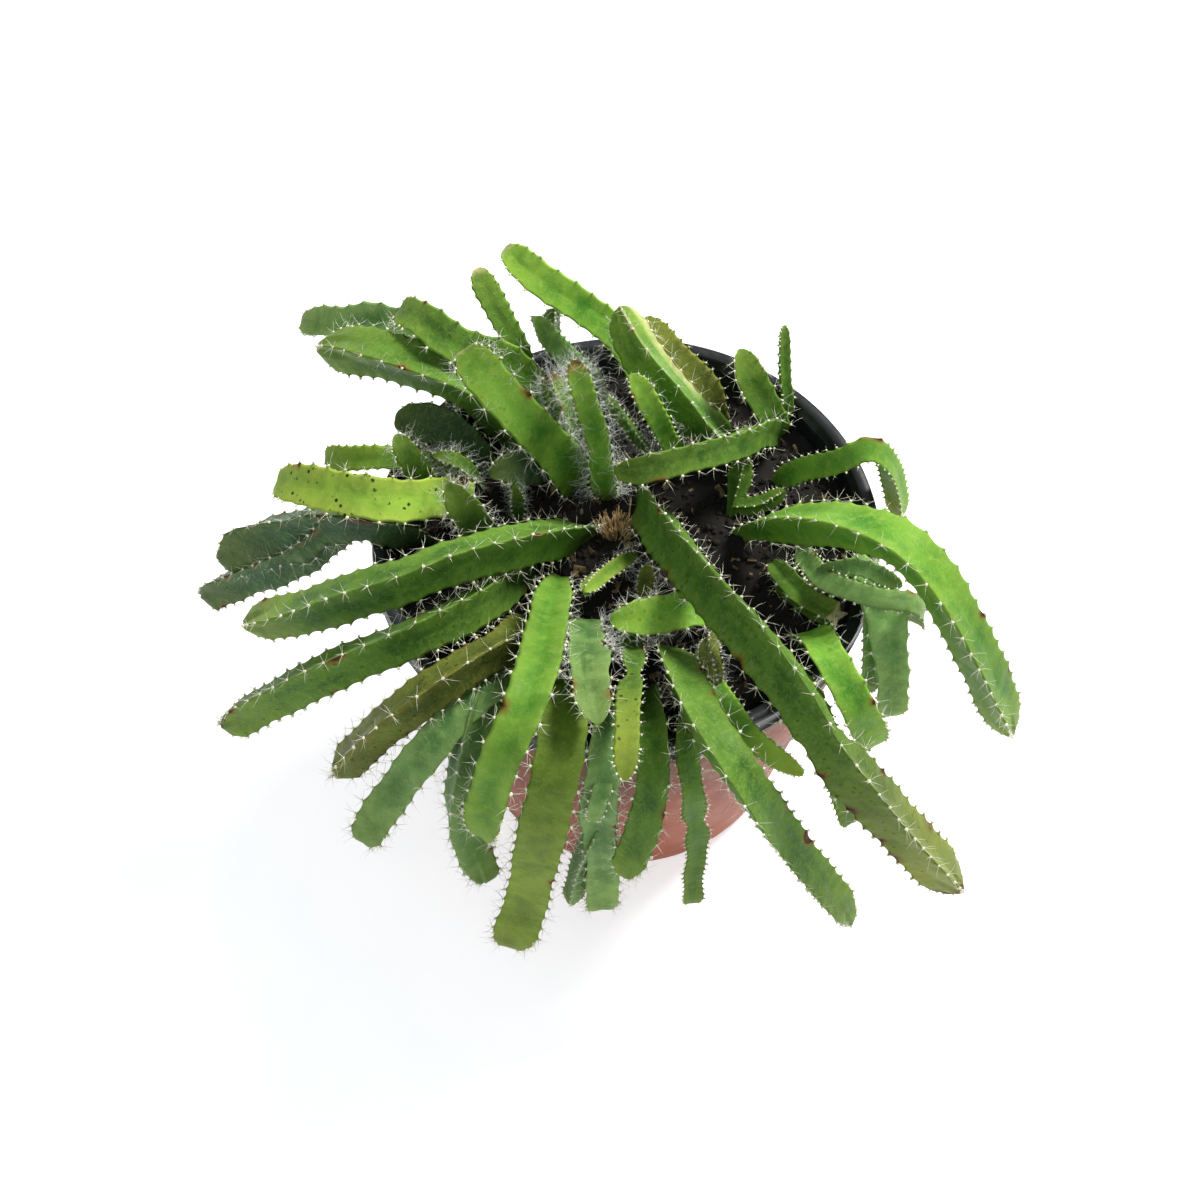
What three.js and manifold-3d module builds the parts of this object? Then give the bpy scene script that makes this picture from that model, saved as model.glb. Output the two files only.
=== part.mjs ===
// A young dragon fruit cactus in its pot: many ribbed stems rooted in one round plastic pot.
// Millimetres, +Z up. The origin is the centre of the pot's underside, on the table.
// The front of the plant, the side it is seen from, is towards -Y.
import * as THREE from 'three';
import Module from 'manifold-3d';
import { mergeVertices } from 'three/addons/utils/BufferGeometryUtils.js';

// Pot: a black growing pot with a turned-down rim hangs in a terracotta-coloured cover pot.
const rimRadius = 76;
const potHeight = 130;
const rimDepth = 9;
const baseRadius = 55.5;
const coverTopRadius = 75.4;
const coverWall = 1.9;
const coverFloor = 3;
const footRound = 1.5;
const lipRound = 0.4;
const growWall = 1.5;
const growFloorZ = 9;
const growFloorThickness = 1.4;
const growFloorRadius = 50.5;
const growNeckRadius = 71.4;
const rimWall = 1.4;
const rimTop = 1.8;
const rimRound = 0.8;
const potSides = 32;
const drainHoles = 5;
const drainRadius = 3.5;
const drainRing = 32;
const drainSides = 8;
const fitGap = 0.3;

// Soil: it fills the growing pot to 11 mm below the rim, with a lumpy top.
const soilZ = 119;
const soilLump = 1;
const soilRings = [16, 32, 48, 61];
const soilSectors = 16;
const rootDepth = 6;
const holeSides = 6;
const holeRise = 6;
const edgeGap = 0.5;

// Stems: sections are stars of ribs, the margins toothed, every tooth an areole.
const toothPitch = 11.7;
const slimPitch = 9;
const toothDip = 0.86;
const valleyDepth = { 3: 0.43, 4: 0.56 };
const ribReach = { 3: 0.57, 4: 0.52 };
const tipTooth = 0.62;
const neckLength = 13;
const neckShare = 0.42;
const rootShare = 1.15;
const rootRoom = 1.9;
const slimWidth = 6;
const waistAt = 0.58;
const waistReach = 7;

// Spines: one three-sided needle on some of the areoles, at true length.
const spineLength = 4.6;
const spineRoot = 1.5;
const spineRadius = 0.4;
const spineClearance = 0.9;
const spineSpacing = 1.8;
const spineEvery = 4;

// The dry stump of an old stem in the middle of the plant, frayed at the top.
const stump = { x: -2, y: 4.5, radius: 3.4, height: 7, long: 1.3, short: 0.8, splinters: 9 };

// Turns of the ribs are measured from the side of a stem that faces up and forward.
const facing = new THREE.Vector3(0, -0.54, 0.84);

const potColor = 0xa55f50;
const rimColor = 0x2b2e31;
const soilColor = 0x241d18;
const stumpColor = 0xb08a58;
const tones = {
  green: 0x5f8f3a,
  bright: 0x86b84c,
  yellow: 0x9cb84a,
  grey: 0x7d9d6a,
  olive: 0x6e7434,
  dark: 0x355042,
};

// Each stem stands at the first point of its path. Widths and points in mm. Branches that grow
// from a stem follow it in its list of shoots and are one body with it.
const stems = [
  {
    name: 'stem_back_1', tone: 'grey',
    shoots: [
      {
        width: 10.2, ribs: 3, turn: 60,
        path: [[-38, 50, 119], [-41, 55, 134], [-53, 66, 142], [-70, 75, 141], [-89, 82, 134],
          [-106, 94, 124]],
      },
    ],
  },
  {
    name: 'stem_back_2', tone: 'green',
    shoots: [
      {
        width: 16.4, ribs: 3, turn: -14,
        path: [[-34, 40, 119], [-37, 40, 135], [-45, 39, 149], [-66, 47, 153], [-83, 57, 149],
          [-95, 65, 142]],
      },
    ],
  },
  {
    name: 'stem_back_3', tone: 'green',
    shoots: [
      {
        width: 12, ribs: 3, turn: 50,
        path: [[-24, 50, 119], [-27, 50, 135], [-36, 47, 153], [-48, 47, 160], [-57, 55, 161],
          [-67, 68, 154]],
      },
    ],
  },
  {
    name: 'stem_back_4', tone: 'bright',
    shoots: [
      {
        width: 13.6, ribs: 3, turn: 60,
        path: [[-15, 22, 119], [-16, 18, 132], [-24, 14, 155], [-34, 18, 168], [-45, 35, 170]],
      },
    ],
  },
  {
    name: 'stem_back_5', tone: 'bright',
    shoots: [
      {
        width: 8, ribs: 3, turn: 60,
        path: [[-5, 18, 119], [-6, 10, 140], [-7, 10, 158], [-10, 14, 170], [-13, 22, 178]],
      },
    ],
  },
  {
    name: 'stem_back_6', tone: 'green',
    shoots: [
      {
        width: 8.2, ribs: 3, turn: 0,
        path: [[-13, 33, 119], [-15, 30, 134], [-18, 32, 148], [-21, 37, 156]],
      },
    ],
  },
  {
    name: 'stem_back_7', tone: 'green',
    shoots: [
      {
        width: 9, ribs: 3, turn: 60,
        path: [[-28, 60, 119], [-30, 61, 133], [-32, 63, 143], [-37, 69, 150], [-43, 82, 157]],
      },
    ],
  },
  {
    name: 'stem_back_8', tone: 'bright',
    shoots: [
      {
        width: 11, ribs: 3, turn: 60,
        path: [[8, 60, 119], [4, 60, 136], [-3, 60, 152], [-12, 60, 162], [-23, 63, 170],
          [-33, 72, 174]],
      },
    ],
  },
  {
    name: 'stem_back_9', tone: 'dark',
    shoots: [
      {
        width: 6.4, ribs: 3, turn: 0,
        path: [[-16, 62, 119], [-19, 66, 132], [-20, 68, 142], [-19, 68, 152]],
      },
    ],
  },
  {
    name: 'stem_back_10', tone: 'grey',
    shoots: [
      {
        width: 8.4, ribs: 3, turn: 60,
        path: [[-4, 60, 119], [-12, 60, 132], [-20, 60, 144], [-25, 60, 157]],
      },
    ],
  },
  {
    name: 'stem_back_11', tone: 'green',
    shoots: [
      {
        width: 14.4, ribs: 3, turn: 0,
        path: [[37, 36, 119], [26, 33, 134], [16, 36, 148], [7, 43, 158], [1, 56, 164]],
      },
    ],
  },
  {
    name: 'stem_back_12', tone: 'olive',
    shoots: [
      {
        width: 9, ribs: 3, turn: 60,
        path: [[34, 48, 119], [28, 52, 131], [18, 59, 140], [9, 70, 144]],
      },
    ],
  },
  {
    name: 'stem_back_13', tone: 'bright',
    shoots: [
      {
        width: 7.6, ribs: 3, turn: 60,
        path: [[19, 31, 119], [13, 23, 142], [8, 22, 158], [3, 25, 168]],
      },
    ],
  },
  {
    name: 'stem_back_14', tone: 'green',
    shoots: [
      {
        width: 4, ribs: 3, turn: 0,
        path: [[11, 32, 119], [6, 26, 136], [1, 23, 150], [-4, 23, 160]],
      },
    ],
  },
  {
    name: 'stem_back_15', tone: 'green',
    shoots: [
      {
        width: 9.8, ribs: 3, turn: 25,
        path: [[50, 38, 119], [44, 30, 134], [36, 20, 142], [22, 8, 152], [7, 1, 156],
          [-3, 3, 153]],
      },
      {
        width: 10.6, ribs: 3, turn: 60,
        path: [[50, 39, 121], [46, 38, 134], [40, 41, 146], [37, 46, 154]],
      },
      {
        width: 5, ribs: 4, turn: 45,
        path: [[51, 41, 123], [53, 43, 132], [52, 47, 140], [52, 57, 152]],
      },
    ],
  },
  {
    name: 'stem_right_1', tone: 'bright',
    shoots: [
      {
        width: 8.4, ribs: 3, turn: 60,
        path: [[48, 21, 119], [54, 15, 133], [64, 8, 146], [71, 8, 150], [77, 9, 144],
          [83, 11, 128], [87, 11, 112]],
      },
    ],
  },
  {
    name: 'stem_right_2', tone: 'bright',
    shoots: [
      {
        width: 14, ribs: 3, turn: 22, neck: 34,
        path: [[35, 2, 119], [47, -11, 142], [60, -26, 160], [72, -37, 164], [82, -45, 156],
          [93, -52, 138], [104, -55, 114], [114, -56, 90]],
      },
    ],
  },
  {
    name: 'stem_right_3', tone: 'olive',
    shoots: [
      {
        width: 14, ribs: 3, turn: -14, valley: 0.35, waist: 0.86,
        path: [[5, 14, 119], [8, 2, 133], [11, -11, 141], [19, -36, 154], [32, -61, 160], [41, -76, 158],
          [49, -86, 148], [61, -92, 130], [71, -94, 112], [84, -96, 90], [96, -97, 70]],
      },
    ],
  },
  {
    name: 'stem_right_4', tone: 'bright',
    shoots: [
      {
        width: 10.4, ribs: 3, turn: 60,
        path: [[50, -38, 119], [51, -48, 137], [52, -59, 146], [58, -69, 140], [63, -69, 126],
          [68, -68, 112]],
      },
    ],
  },
  {
    name: 'stem_right_5', tone: 'olive',
    shoots: [
      {
        width: 7.8, ribs: 3, turn: 60,
        path: [[38, -48, 119], [42, -57, 135], [47, -66, 138], [52, -71, 124], [57, -73, 104],
          [64, -77, 78]],
      },
    ],
  },
  {
    name: 'stem_right_6', tone: 'grey',
    shoots: [
      {
        width: 7.4, ribs: 3, turn: 60,
        path: [[53, -4, 119], [54, -20, 131], [57, -33, 141], [67, -41, 146], [77, -42, 144],
          [82, -40, 131]],
      },
      {
        width: 6, ribs: 3, turn: 60,
        path: [[55, -24, 134], [59, -28, 142], [65, -31, 147], [75, -37, 146]],
      },
    ],
  },
  {
    name: 'stem_right_7', tone: 'green',
    shoots: [
      {
        width: 9.6, ribs: 4, turn: 45, valley: 0.38,
        path: [[44, -10, 119], [46, -20, 126], [51, -31, 131], [58, -39, 135]],
      },
    ],
  },
  {
    name: 'stem_right_8', tone: 'grey',
    shoots: [
      {
        width: 10.8, ribs: 3, turn: 60,
        path: [[62, -18, 119], [65, -27, 138], [71, -38, 137], [74, -47, 121], [77, -51, 97]],
      },
      {
        width: 6.4, ribs: 3, turn: 60,
        path: [[68, -37, 135], [69, -44, 120], [70, -46, 103]],
      },
    ],
  },
  {
    name: 'stem_right_9', tone: 'green',
    shoots: [
      {
        width: 8, ribs: 4, turn: 0,
        path: [[33, 9, 119], [36, 17, 126], [38, 23, 133]],
      },
      {
        width: 6, ribs: 4, turn: 0,
        path: [[34, 11, 121], [42, 8, 126], [49, 9, 131]],
      },
    ],
  },
  {
    name: 'stem_front_1', tone: 'bright',
    shoots: [
      {
        width: 11.6, ribs: 3, turn: 60,
        path: [[29, -26, 119], [24, -30, 128], [17, -34, 134], [5, -39, 139], [-6, -41, 141]],
      },
    ],
  },
  {
    name: 'stem_front_2', tone: 'yellow',
    shoots: [
      {
        width: 6.4, ribs: 4, turn: 45,
        path: [[3, -5, 119], [-1, -12, 127], [-7, -21, 134], [-13, -30, 139]],
      },
    ],
  },
  {
    name: 'stem_front_3', tone: 'olive',
    shoots: [
      {
        width: 7.4, ribs: 3, turn: 60,
        path: [[4, -22, 119], [5, -19, 125], [6, -15, 130]],
      },
    ],
  },
  {
    name: 'stem_front_4', tone: 'yellow',
    shoots: [
      {
        width: 7.2, ribs: 3, turn: 60, waist: 0.6,
        path: [[0, -32, 119], [0, -48, 134], [0, -60, 145], [-2, -73, 152], [-3, -86, 154],
          [-4, -95, 151]],
      },
    ],
  },
  {
    name: 'stem_front_5', tone: 'olive',
    shoots: [
      {
        width: 12.2, ribs: 3, turn: 0,
        path: [[-29, -26, 119], [-33, -43, 136], [-44, -59, 150], [-57, -68, 149],
          [-71, -70, 134], [-86, -70, 110]],
      },
    ],
  },
  {
    name: 'stem_front_6', tone: 'grey',
    shoots: [
      {
        width: 11.2, ribs: 3, turn: 60,
        path: [[-34, -44, 119], [-38, -55, 133], [-44, -64, 139], [-55, -75, 135],
          [-67, -80, 119], [-79, -85, 97]],
      },
      {
        width: 12.6, ribs: 3, turn: 20,
        path: [[-41, -60, 135], [-44, -70, 136], [-47, -79, 128], [-50, -83, 112],
          [-50, -84, 96], [-47, -87, 68]],
      },
    ],
  },
  {
    name: 'stem_front_7', tone: 'bright',
    shoots: [
      {
        width: 12, ribs: 3, turn: 60, valley: 0.36, neck: 34,
        path: [[-20, -12, 119], [-22, -33, 139], [-24, -59, 156], [-27, -77, 163],
          [-33, -88, 157], [-38, -92, 140], [-43, -94, 118]],
      },
    ],
  },
  {
    name: 'stem_front_8', tone: 'green',
    shoots: [
      {
        width: 14.2, ribs: 3, turn: 60,
        path: [[-15, -48, 119], [-17, -60, 133], [-19, -72, 141], [-21, -84, 141],
          [-25, -91, 124], [-29, -93, 100], [-33, -95, 76], [-41, -100, 48]],
      },
    ],
  },
  {
    name: 'stem_front_9', tone: 'grey',
    shoots: [
      {
        width: 10.6, ribs: 3, turn: 60,
        path: [[-6, -58, 119], [-7, -70, 136], [-9, -83, 138], [-11, -88, 126], [-11, -88, 110],
          [-11, -89, 86], [-12, -93, 58]],
      },
      {
        width: 5.6, ribs: 3, turn: 60,
        path: [[-7, -79, 137], [-10, -89, 133], [-13, -92, 121]],
      },
      {
        width: 7.6, ribs: 3, turn: 0,
        path: [[-11, -88, 110], [-16, -89, 90], [-19, -91, 76], [-21, -93, 62]],
      },
    ],
  },
  {
    name: 'stem_front_10', tone: 'green',
    shoots: [
      {
        width: 11.2, ribs: 3, turn: -25,
        path: [[5, -52, 119], [4, -64, 130], [5, -77, 140], [5, -87, 138], [3, -93, 124],
          [-1, -96, 106], [-4, -98, 94]],
      },
    ],
  },
  {
    name: 'stem_front_11', tone: 'green',
    shoots: [
      {
        width: 7, ribs: 3, turn: 60, waist: 0.74,
        path: [[17, -54, 119], [15, -68, 134], [13, -79, 139], [14, -86, 128], [15, -86, 112],
          [17, -86, 92], [16, -88, 72], [16, -90, 52]],
      },
    ],
  },
  {
    name: 'stem_front_12', tone: 'green',
    shoots: [
      {
        width: 12, ribs: 3, turn: 22, neck: 30,
        path: [[9, -38, 119], [11, -53, 137], [16, -78, 151], [25, -94, 148], [37, -98, 120],
          [51, -101, 90], [63, -103, 62]],
      },
    ],
  },
  {
    name: 'stem_front_13', tone: 'bright',
    shoots: [
      {
        width: 6.8, ribs: 3, turn: 60,
        path: [[20, -38, 119], [21, -49, 127], [25, -68, 137], [32, -84, 143], [43, -88, 136]],
      },
    ],
  },
  {
    name: 'stem_front_14', tone: 'olive',
    shoots: [
      {
        width: 6, ribs: 4, turn: 45,
        path: [[27, -36, 119], [23, -42, 130], [21, -53, 140], [22, -64, 143]],
      },
    ],
  },
  {
    name: 'stem_front_15', tone: 'grey',
    shoots: [
      {
        width: 10.4, ribs: 3, turn: 60,
        path: [[-12, -28, 119], [-13, -49, 140], [-13, -66, 153], [-10, -81, 155]],
      },
    ],
  },
  {
    name: 'stem_left_1', tone: 'dark',
    shoots: [
      {
        width: 14.4, ribs: 3, turn: 10,
        path: [[-60, 3, 119], [-66, -1, 134], [-75, -2, 139], [-89, 4, 132], [-100, 9, 123],
          [-117, 16, 110], [-133, 18, 94]],
      },
      {
        width: 13, ribs: 3, turn: 15,
        path: [[-82, 1, 138], [-95, 6, 118], [-106, 9, 106], [-128, 15, 86], [-146, 22, 68]],
      },
    ],
  },
  {
    name: 'stem_left_2', tone: 'yellow',
    shoots: [
      {
        width: 13.2, ribs: 3, turn: 60,
        path: [[-48, 13, 119], [-50, 8, 134], [-56, 0, 146], [-65, -5, 152], [-73, -6, 155],
          [-89, 2, 150], [-103, 12, 141]],
      },
    ],
  },
  {
    name: 'stem_left_3', tone: 'green',
    shoots: [
      {
        width: 8.6, ribs: 3, turn: 60,
        path: [[-53, 29, 119], [-60, 26, 130], [-68, 21, 139], [-80, 23, 137], [-92, 30, 130]],
      },
    ],
  },
  {
    name: 'stem_left_4', tone: 'green',
    shoots: [
      {
        width: 9.4, ribs: 3, turn: 60,
        path: [[-57, 17, 119], [-60, 14, 135], [-62, 13, 148], [-66, 18, 154]],
      },
    ],
  },
  {
    name: 'stem_left_5', tone: 'dark',
    shoots: [
      {
        width: 13, ribs: 3, turn: 60,
        path: [[-41, 30, 119], [-46, 30, 129], [-55, 34, 137], [-70, 39, 136]],
      },
    ],
  },
  {
    name: 'stem_left_6', tone: 'dark',
    shoots: [
      {
        width: 11.6, ribs: 3, turn: 60,
        path: [[-22, 28, 119], [-28, 25, 126], [-36, 22, 131], [-41, 19, 132]],
      },
    ],
  },
  {
    name: 'stem_left_7', tone: 'green',
    shoots: [
      {
        width: 11, ribs: 3, turn: 60,
        path: [[-41, 0, 119], [-42, -4, 133], [-45, -8, 151], [-50, -4, 158]],
      },
    ],
  },
  {
    name: 'stem_left_8', tone: 'green',
    shoots: [
      {
        width: 5.4, ribs: 4, turn: 45,
        path: [[-32, 9, 119], [-32, 8, 131], [-32, 7, 142]],
      },
    ],
  },
  {
    name: 'stem_left_9', tone: 'green',
    shoots: [
      {
        width: 14, ribs: 3, turn: 0,
        path: [[-12, 4, 119], [-19, -8, 136], [-30, -20, 150], [-48, -32, 160], [-62, -38, 160],
          [-76, -38, 154], [-92, -35, 142], [-113, -27, 124]],
      },
    ],
  },
  {
    name: 'stem_left_10', tone: 'green',
    shoots: [
      {
        width: 12.8, ribs: 3, turn: 18,
        path: [[-28, -4, 119], [-36, -25, 136], [-47, -41, 148], [-62, -50, 150],
          [-83, -53, 141], [-103, -52, 124], [-122, -49, 104]],
      },
    ],
  },
  {
    name: 'stem_left_11', tone: 'green',
    shoots: [
      {
        width: 7, ribs: 4, turn: 0,
        path: [[-44, 23, 119], [-48, 21, 131], [-52, 20, 138], [-57, 19, 142]],
      },
    ],
  },
];

const wasm = await Module();
wasm.setup();

// A seeded draw, so that every build gives the same plant.
let seed = 20;
function draw(low, high) {
  seed = (seed * 1664525 + 1013904223) % 4294967296;
  return low + (high - low) * (seed / 4294967296);
}

function toManifold(geometry) {
  const bare = geometry.index ? geometry.clone() : geometry;
  bare.deleteAttribute('normal');
  bare.deleteAttribute('uv');
  const merged = mergeVertices(bare, 1e-4);
  return new wasm.Manifold(new wasm.Mesh({
    numProp: 3,
    vertProperties: new Float32Array(merged.attributes.position.array),
    triVerts: new Uint32Array(merged.index.array),
  }));
}

function toGeometry(solid) {
  const mesh = solid.getMesh();
  const geometry = new THREE.BufferGeometry();
  const points = new Float32Array(mesh.vertProperties);
  geometry.setAttribute('position', new THREE.BufferAttribute(points, 3));
  geometry.setIndex(new THREE.BufferAttribute(new Uint32Array(mesh.triVerts), 1));
  geometry.computeVertexNormals();
  return geometry;
}

function geometryFrom(points, triangles) {
  const geometry = new THREE.BufferGeometry();
  const numbers = points.flatMap((p) => [p.x, p.y, p.z]);
  geometry.setAttribute('position', new THREE.Float32BufferAttribute(numbers, 3));
  geometry.setIndex(triangles.flat());
  return geometry;
}

// The distances along a stem at which it gets a ring, each with the share of the full radius
// that the rib tips and the whole section have there.
function ringPlan(shoot, length) {
  const { width } = shoot;
  const pitch = width < slimWidth ? slimPitch : toothPitch;
  const first = shoot.branch ? 2 : rootDepth + 3;
  const last = length - width * 0.55;
  const teeth = Math.max(1, Math.round((last - first) / pitch));
  const step = (last - first) / teeth;
  const plan = [{ at: 0, tooth: 1 }];
  for (let i = 0; i < teeth; i += 1) {
    plan.push({ at: first + step * i, tooth: 1, areole: i > 0 || shoot.branch });
    plan.push({ at: first + step * (i + 0.5), tooth: toothDip });
  }
  plan.push({ at: last, tooth: 1, areole: true });
  plan.push({ at: length - width * 0.2, tooth: tipTooth });
  for (const ring of plan) {
    const free = shoot.branch ? ring.at + neckLength * 0.5 : ring.at - rootDepth;
    const rise = THREE.MathUtils.smoothstep(free, 0, shoot.neck ?? neckLength);
    ring.size = neckShare + (1 - neckShare) * rise;
    if (shoot.waist) {
      const off = Math.abs(ring.at - length * waistAt);
      ring.size *= shoot.waist + (1 - shoot.waist) * THREE.MathUtils.smoothstep(off, 0, waistReach);
    }
  }
  return plan;
}

// The axis of a shoot with its rings: centre, direction and the two directions across it.
function measureShoot(shoot) {
  const points = shoot.path.map((p) => new THREE.Vector3(...p));
  if (!shoot.branch) {
    points.unshift(points[0].clone().setZ(soilZ - rootDepth));
  }
  const axis = new THREE.CatmullRomCurve3(points, false, 'centripetal');
  axis.arcLengthDivisions = 400;
  const length = axis.getLength();
  const plan = ringPlan(shoot, length);
  const radius = shoot.width * ribReach[shoot.ribs];
  let across = new THREE.Vector3(1, 0, 0);
  const rings = plan.map((ring) => {
    const centre = axis.getPointAt(ring.at / length);
    const along = axis.getTangentAt(ring.at / length);
    across = across.clone().addScaledVector(along, -across.dot(along)).normalize();
    return { ...ring, centre, along, across, reach: radius * ring.size };
  });
  const middle = rings[Math.floor(rings.length / 2)];
  const up = new THREE.Vector3().crossVectors(middle.along, middle.across);
  const front = Math.atan2(facing.dot(up), facing.dot(middle.across));
  const start = front + THREE.MathUtils.degToRad(shoot.turn);
  return { shoot, rings, start, tip: axis.getPointAt(1), axis, length };
}

// The point of a ring at an angle and a distance from the axis.
function ringPoint(ring, angle, distance) {
  const up = new THREE.Vector3().crossVectors(ring.along, ring.across);
  return ring.centre.clone()
    .addScaledVector(ring.across, Math.cos(angle) * distance)
    .addScaledVector(up, Math.sin(angle) * distance);
}

// One shoot as a closed skin: stars of rib tips and valleys from the root to a blunt tip.
function buildShoot(measured) {
  const { shoot, rings, start, tip } = measured;
  const slim = shoot.width < slimWidth;
  const sides = slim ? shoot.ribs : shoot.ribs * 2;
  const valley = shoot.valley ?? valleyDepth[shoot.ribs];
  const points = [rings[0].centre.clone()];
  for (const ring of rings) {
    for (let k = 0; k < sides; k += 1) {
      const angle = start + (k * 2 * Math.PI) / sides;
      const onRib = slim || k % 2 === 0;
      const share = onRib ? ring.tooth : valley * Math.min(1, ring.tooth + 0.14);
      points.push(ringPoint(ring, angle, ring.reach * share));
    }
  }
  points.push(tip);
  const end = points.length - 1;
  const triangles = [];
  const at = (r, k) => 1 + r * sides + (k % sides);
  for (let k = 0; k < sides; k += 1) {
    triangles.push([0, at(0, k + 1), at(0, k)]);
    for (let r = 0; r < rings.length - 1; r += 1) {
      triangles.push([at(r, k), at(r, k + 1), at(r + 1, k + 1)]);
      triangles.push([at(r, k), at(r + 1, k + 1), at(r + 1, k)]);
    }
    triangles.push([at(rings.length - 1, k), at(rings.length - 1, k + 1), end]);
  }
  return toManifold(geometryFrom(points, triangles));
}

// A needle is a slim three-sided pyramid whose root is sunk in the stem.
function buildNeedle(foot, direction) {
  const side = new THREE.Vector3(0.3, 0.5, 0.8).cross(direction).normalize();
  const other = new THREE.Vector3().crossVectors(direction, side);
  const base = foot.clone().addScaledVector(direction, -spineRoot);
  const points = [0, 1, 2].map((k) => base.clone()
    .addScaledVector(side, Math.cos((k * 2 * Math.PI) / 3) * spineRadius)
    .addScaledVector(other, Math.sin((k * 2 * Math.PI) / 3) * spineRadius));
  points.push(foot.clone().addScaledVector(direction, spineLength));
  return geometryFrom(points, [[0, 2, 1], [0, 1, 3], [1, 2, 3], [2, 0, 3]]);
}

// Spheres along each stem that stand for it where a needle of another stem comes near.
function clearanceBalls(measured, owner) {
  const balls = [];
  const { axis, length, rings } = measured;
  for (let s = 0; s <= length; s += 2) {
    const near = rings.reduce((a, b) => (Math.abs(b.at - s) < Math.abs(a.at - s) ? b : a));
    balls.push({ owner, centre: axis.getPointAt(s / length), radius: near.reach + spineClearance });
  }
  return balls;
}

function insidePot(point) {
  const out = Math.hypot(point.x, point.y);
  const overSoil = point.z > soilZ + soilLump + spineClearance;
  const overRim = point.z > potHeight + spineClearance;
  if (point.z < spineClearance) return true;
  if (out > rimRadius + spineClearance) return false;
  if (out < growNeckRadius - spineClearance) return !overSoil;
  return !overRim;
}

const balls = [];
const spinePoints = [];

function spineFits(owner, foot, direction) {
  const samples = [0.35, 0.7, 1].map((share) => (
    foot.clone().addScaledVector(direction, spineLength * share)));
  const otherBalls = balls.filter((ball) => ball.owner !== owner);
  const otherSpines = spinePoints.filter((spine) => spine.owner !== owner);
  for (const point of samples) {
    if (insidePot(point)) return false;
    if (otherBalls.some((ball) => ball.centre.distanceTo(point) < ball.radius)) return false;
    if (otherSpines.some((spine) => spine.point.distanceTo(point) < spineSpacing)) return false;
  }
  samples.forEach((point) => spinePoints.push({ owner, point }));
  return true;
}

// Needles go round the ribs in turn, so that every side of a stem has some up to its tip.
function spinesOf(measured, owner) {
  const needles = [];
  const { shoot, rings, start } = measured;
  let turn = 0;
  for (const ring of rings.filter((r) => r.areole)) {
    for (let rib = 0; rib < shoot.ribs; rib += 1) {
      turn += 1;
      const lean = draw(-0.45, 0.45);
      const sway = draw(-0.5, 0.5);
      if ((turn + rib) % spineEvery !== 0) continue;
      const angle = start + (rib * 2 * Math.PI) / shoot.ribs;
      const foot = ringPoint(ring, angle, ring.reach);
      const direction = ringPoint(ring, angle + sway, 1).sub(ring.centre)
        .addScaledVector(ring.along, lean)
        .normalize();
      if (spineFits(owner, foot, direction)) needles.push(buildNeedle(foot, direction));
    }
  }
  return needles;
}

// Lathes and cylinders are made round +Y, and this stands them on +Z.
function standUp(geometry) {
  return geometry.rotateX(Math.PI / 2);
}

function turned(outline) {
  const points = outline.map(([r, z]) => new THREE.Vector2(r, z));
  return toManifold(standUp(new THREE.LatheGeometry(points, potSides)));
}

// The cover pot has a flat underside.
function coverPot() {
  const top = potHeight - rimDepth - fitGap;
  const outline = [
    [0, 0],
    [baseRadius - footRound, 0],
    [baseRadius, footRound],
    [coverTopRadius, top - 1],
    [coverTopRadius - lipRound, top],
    [coverTopRadius - coverWall, top],
    [baseRadius - coverWall, coverFloor],
    [0, coverFloor],
  ];
  return toGeometry(turned(outline));
}

// The growing pot: thin wall, rolled rim with a turned-down skirt, drain holes in its floor.
function growingPot() {
  const skirt = potHeight - rimDepth;
  const underRim = potHeight - rimTop;
  const outline = [
    [0, growFloorZ - growFloorThickness],
    [growFloorRadius, growFloorZ - growFloorThickness],
    [growFloorRadius + growWall, growFloorZ],
    [growNeckRadius + growWall, skirt - 1],
    [growNeckRadius + growWall + lipRound, underRim],
    [rimRadius - rimWall, underRim],
    [rimRadius - rimWall, skirt],
    [rimRadius, skirt],
    [rimRadius, potHeight - rimRound],
    [rimRadius - rimRound, potHeight],
    [growNeckRadius + rimRound * 2, potHeight],
    [growNeckRadius + rimRound, potHeight - rimRound],
    [growNeckRadius, soilZ + 1],
    [growFloorRadius, growFloorZ],
    [0, growFloorZ],
  ];
  let solid = turned(outline);
  const depth = growFloorThickness * 3;
  for (let k = 0; k < drainHoles; k += 1) {
    const angle = (k * 2 * Math.PI) / drainHoles;
    const x = Math.cos(angle) * drainRing;
    const y = Math.sin(angle) * drainRing;
    const hole = new THREE.CylinderGeometry(drainRadius, drainRadius, depth, drainSides);
    standUp(hole).translate(x, y, growFloorZ - growFloorThickness / 2);
    solid = solid.subtract(toManifold(hole));
  }
  return toGeometry(solid);
}

function soilHeight(x, y) {
  return soilZ + soilLump * Math.sin(x * 0.21 + 1) * Math.cos(y * 0.17 - 0.5);
}

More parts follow.
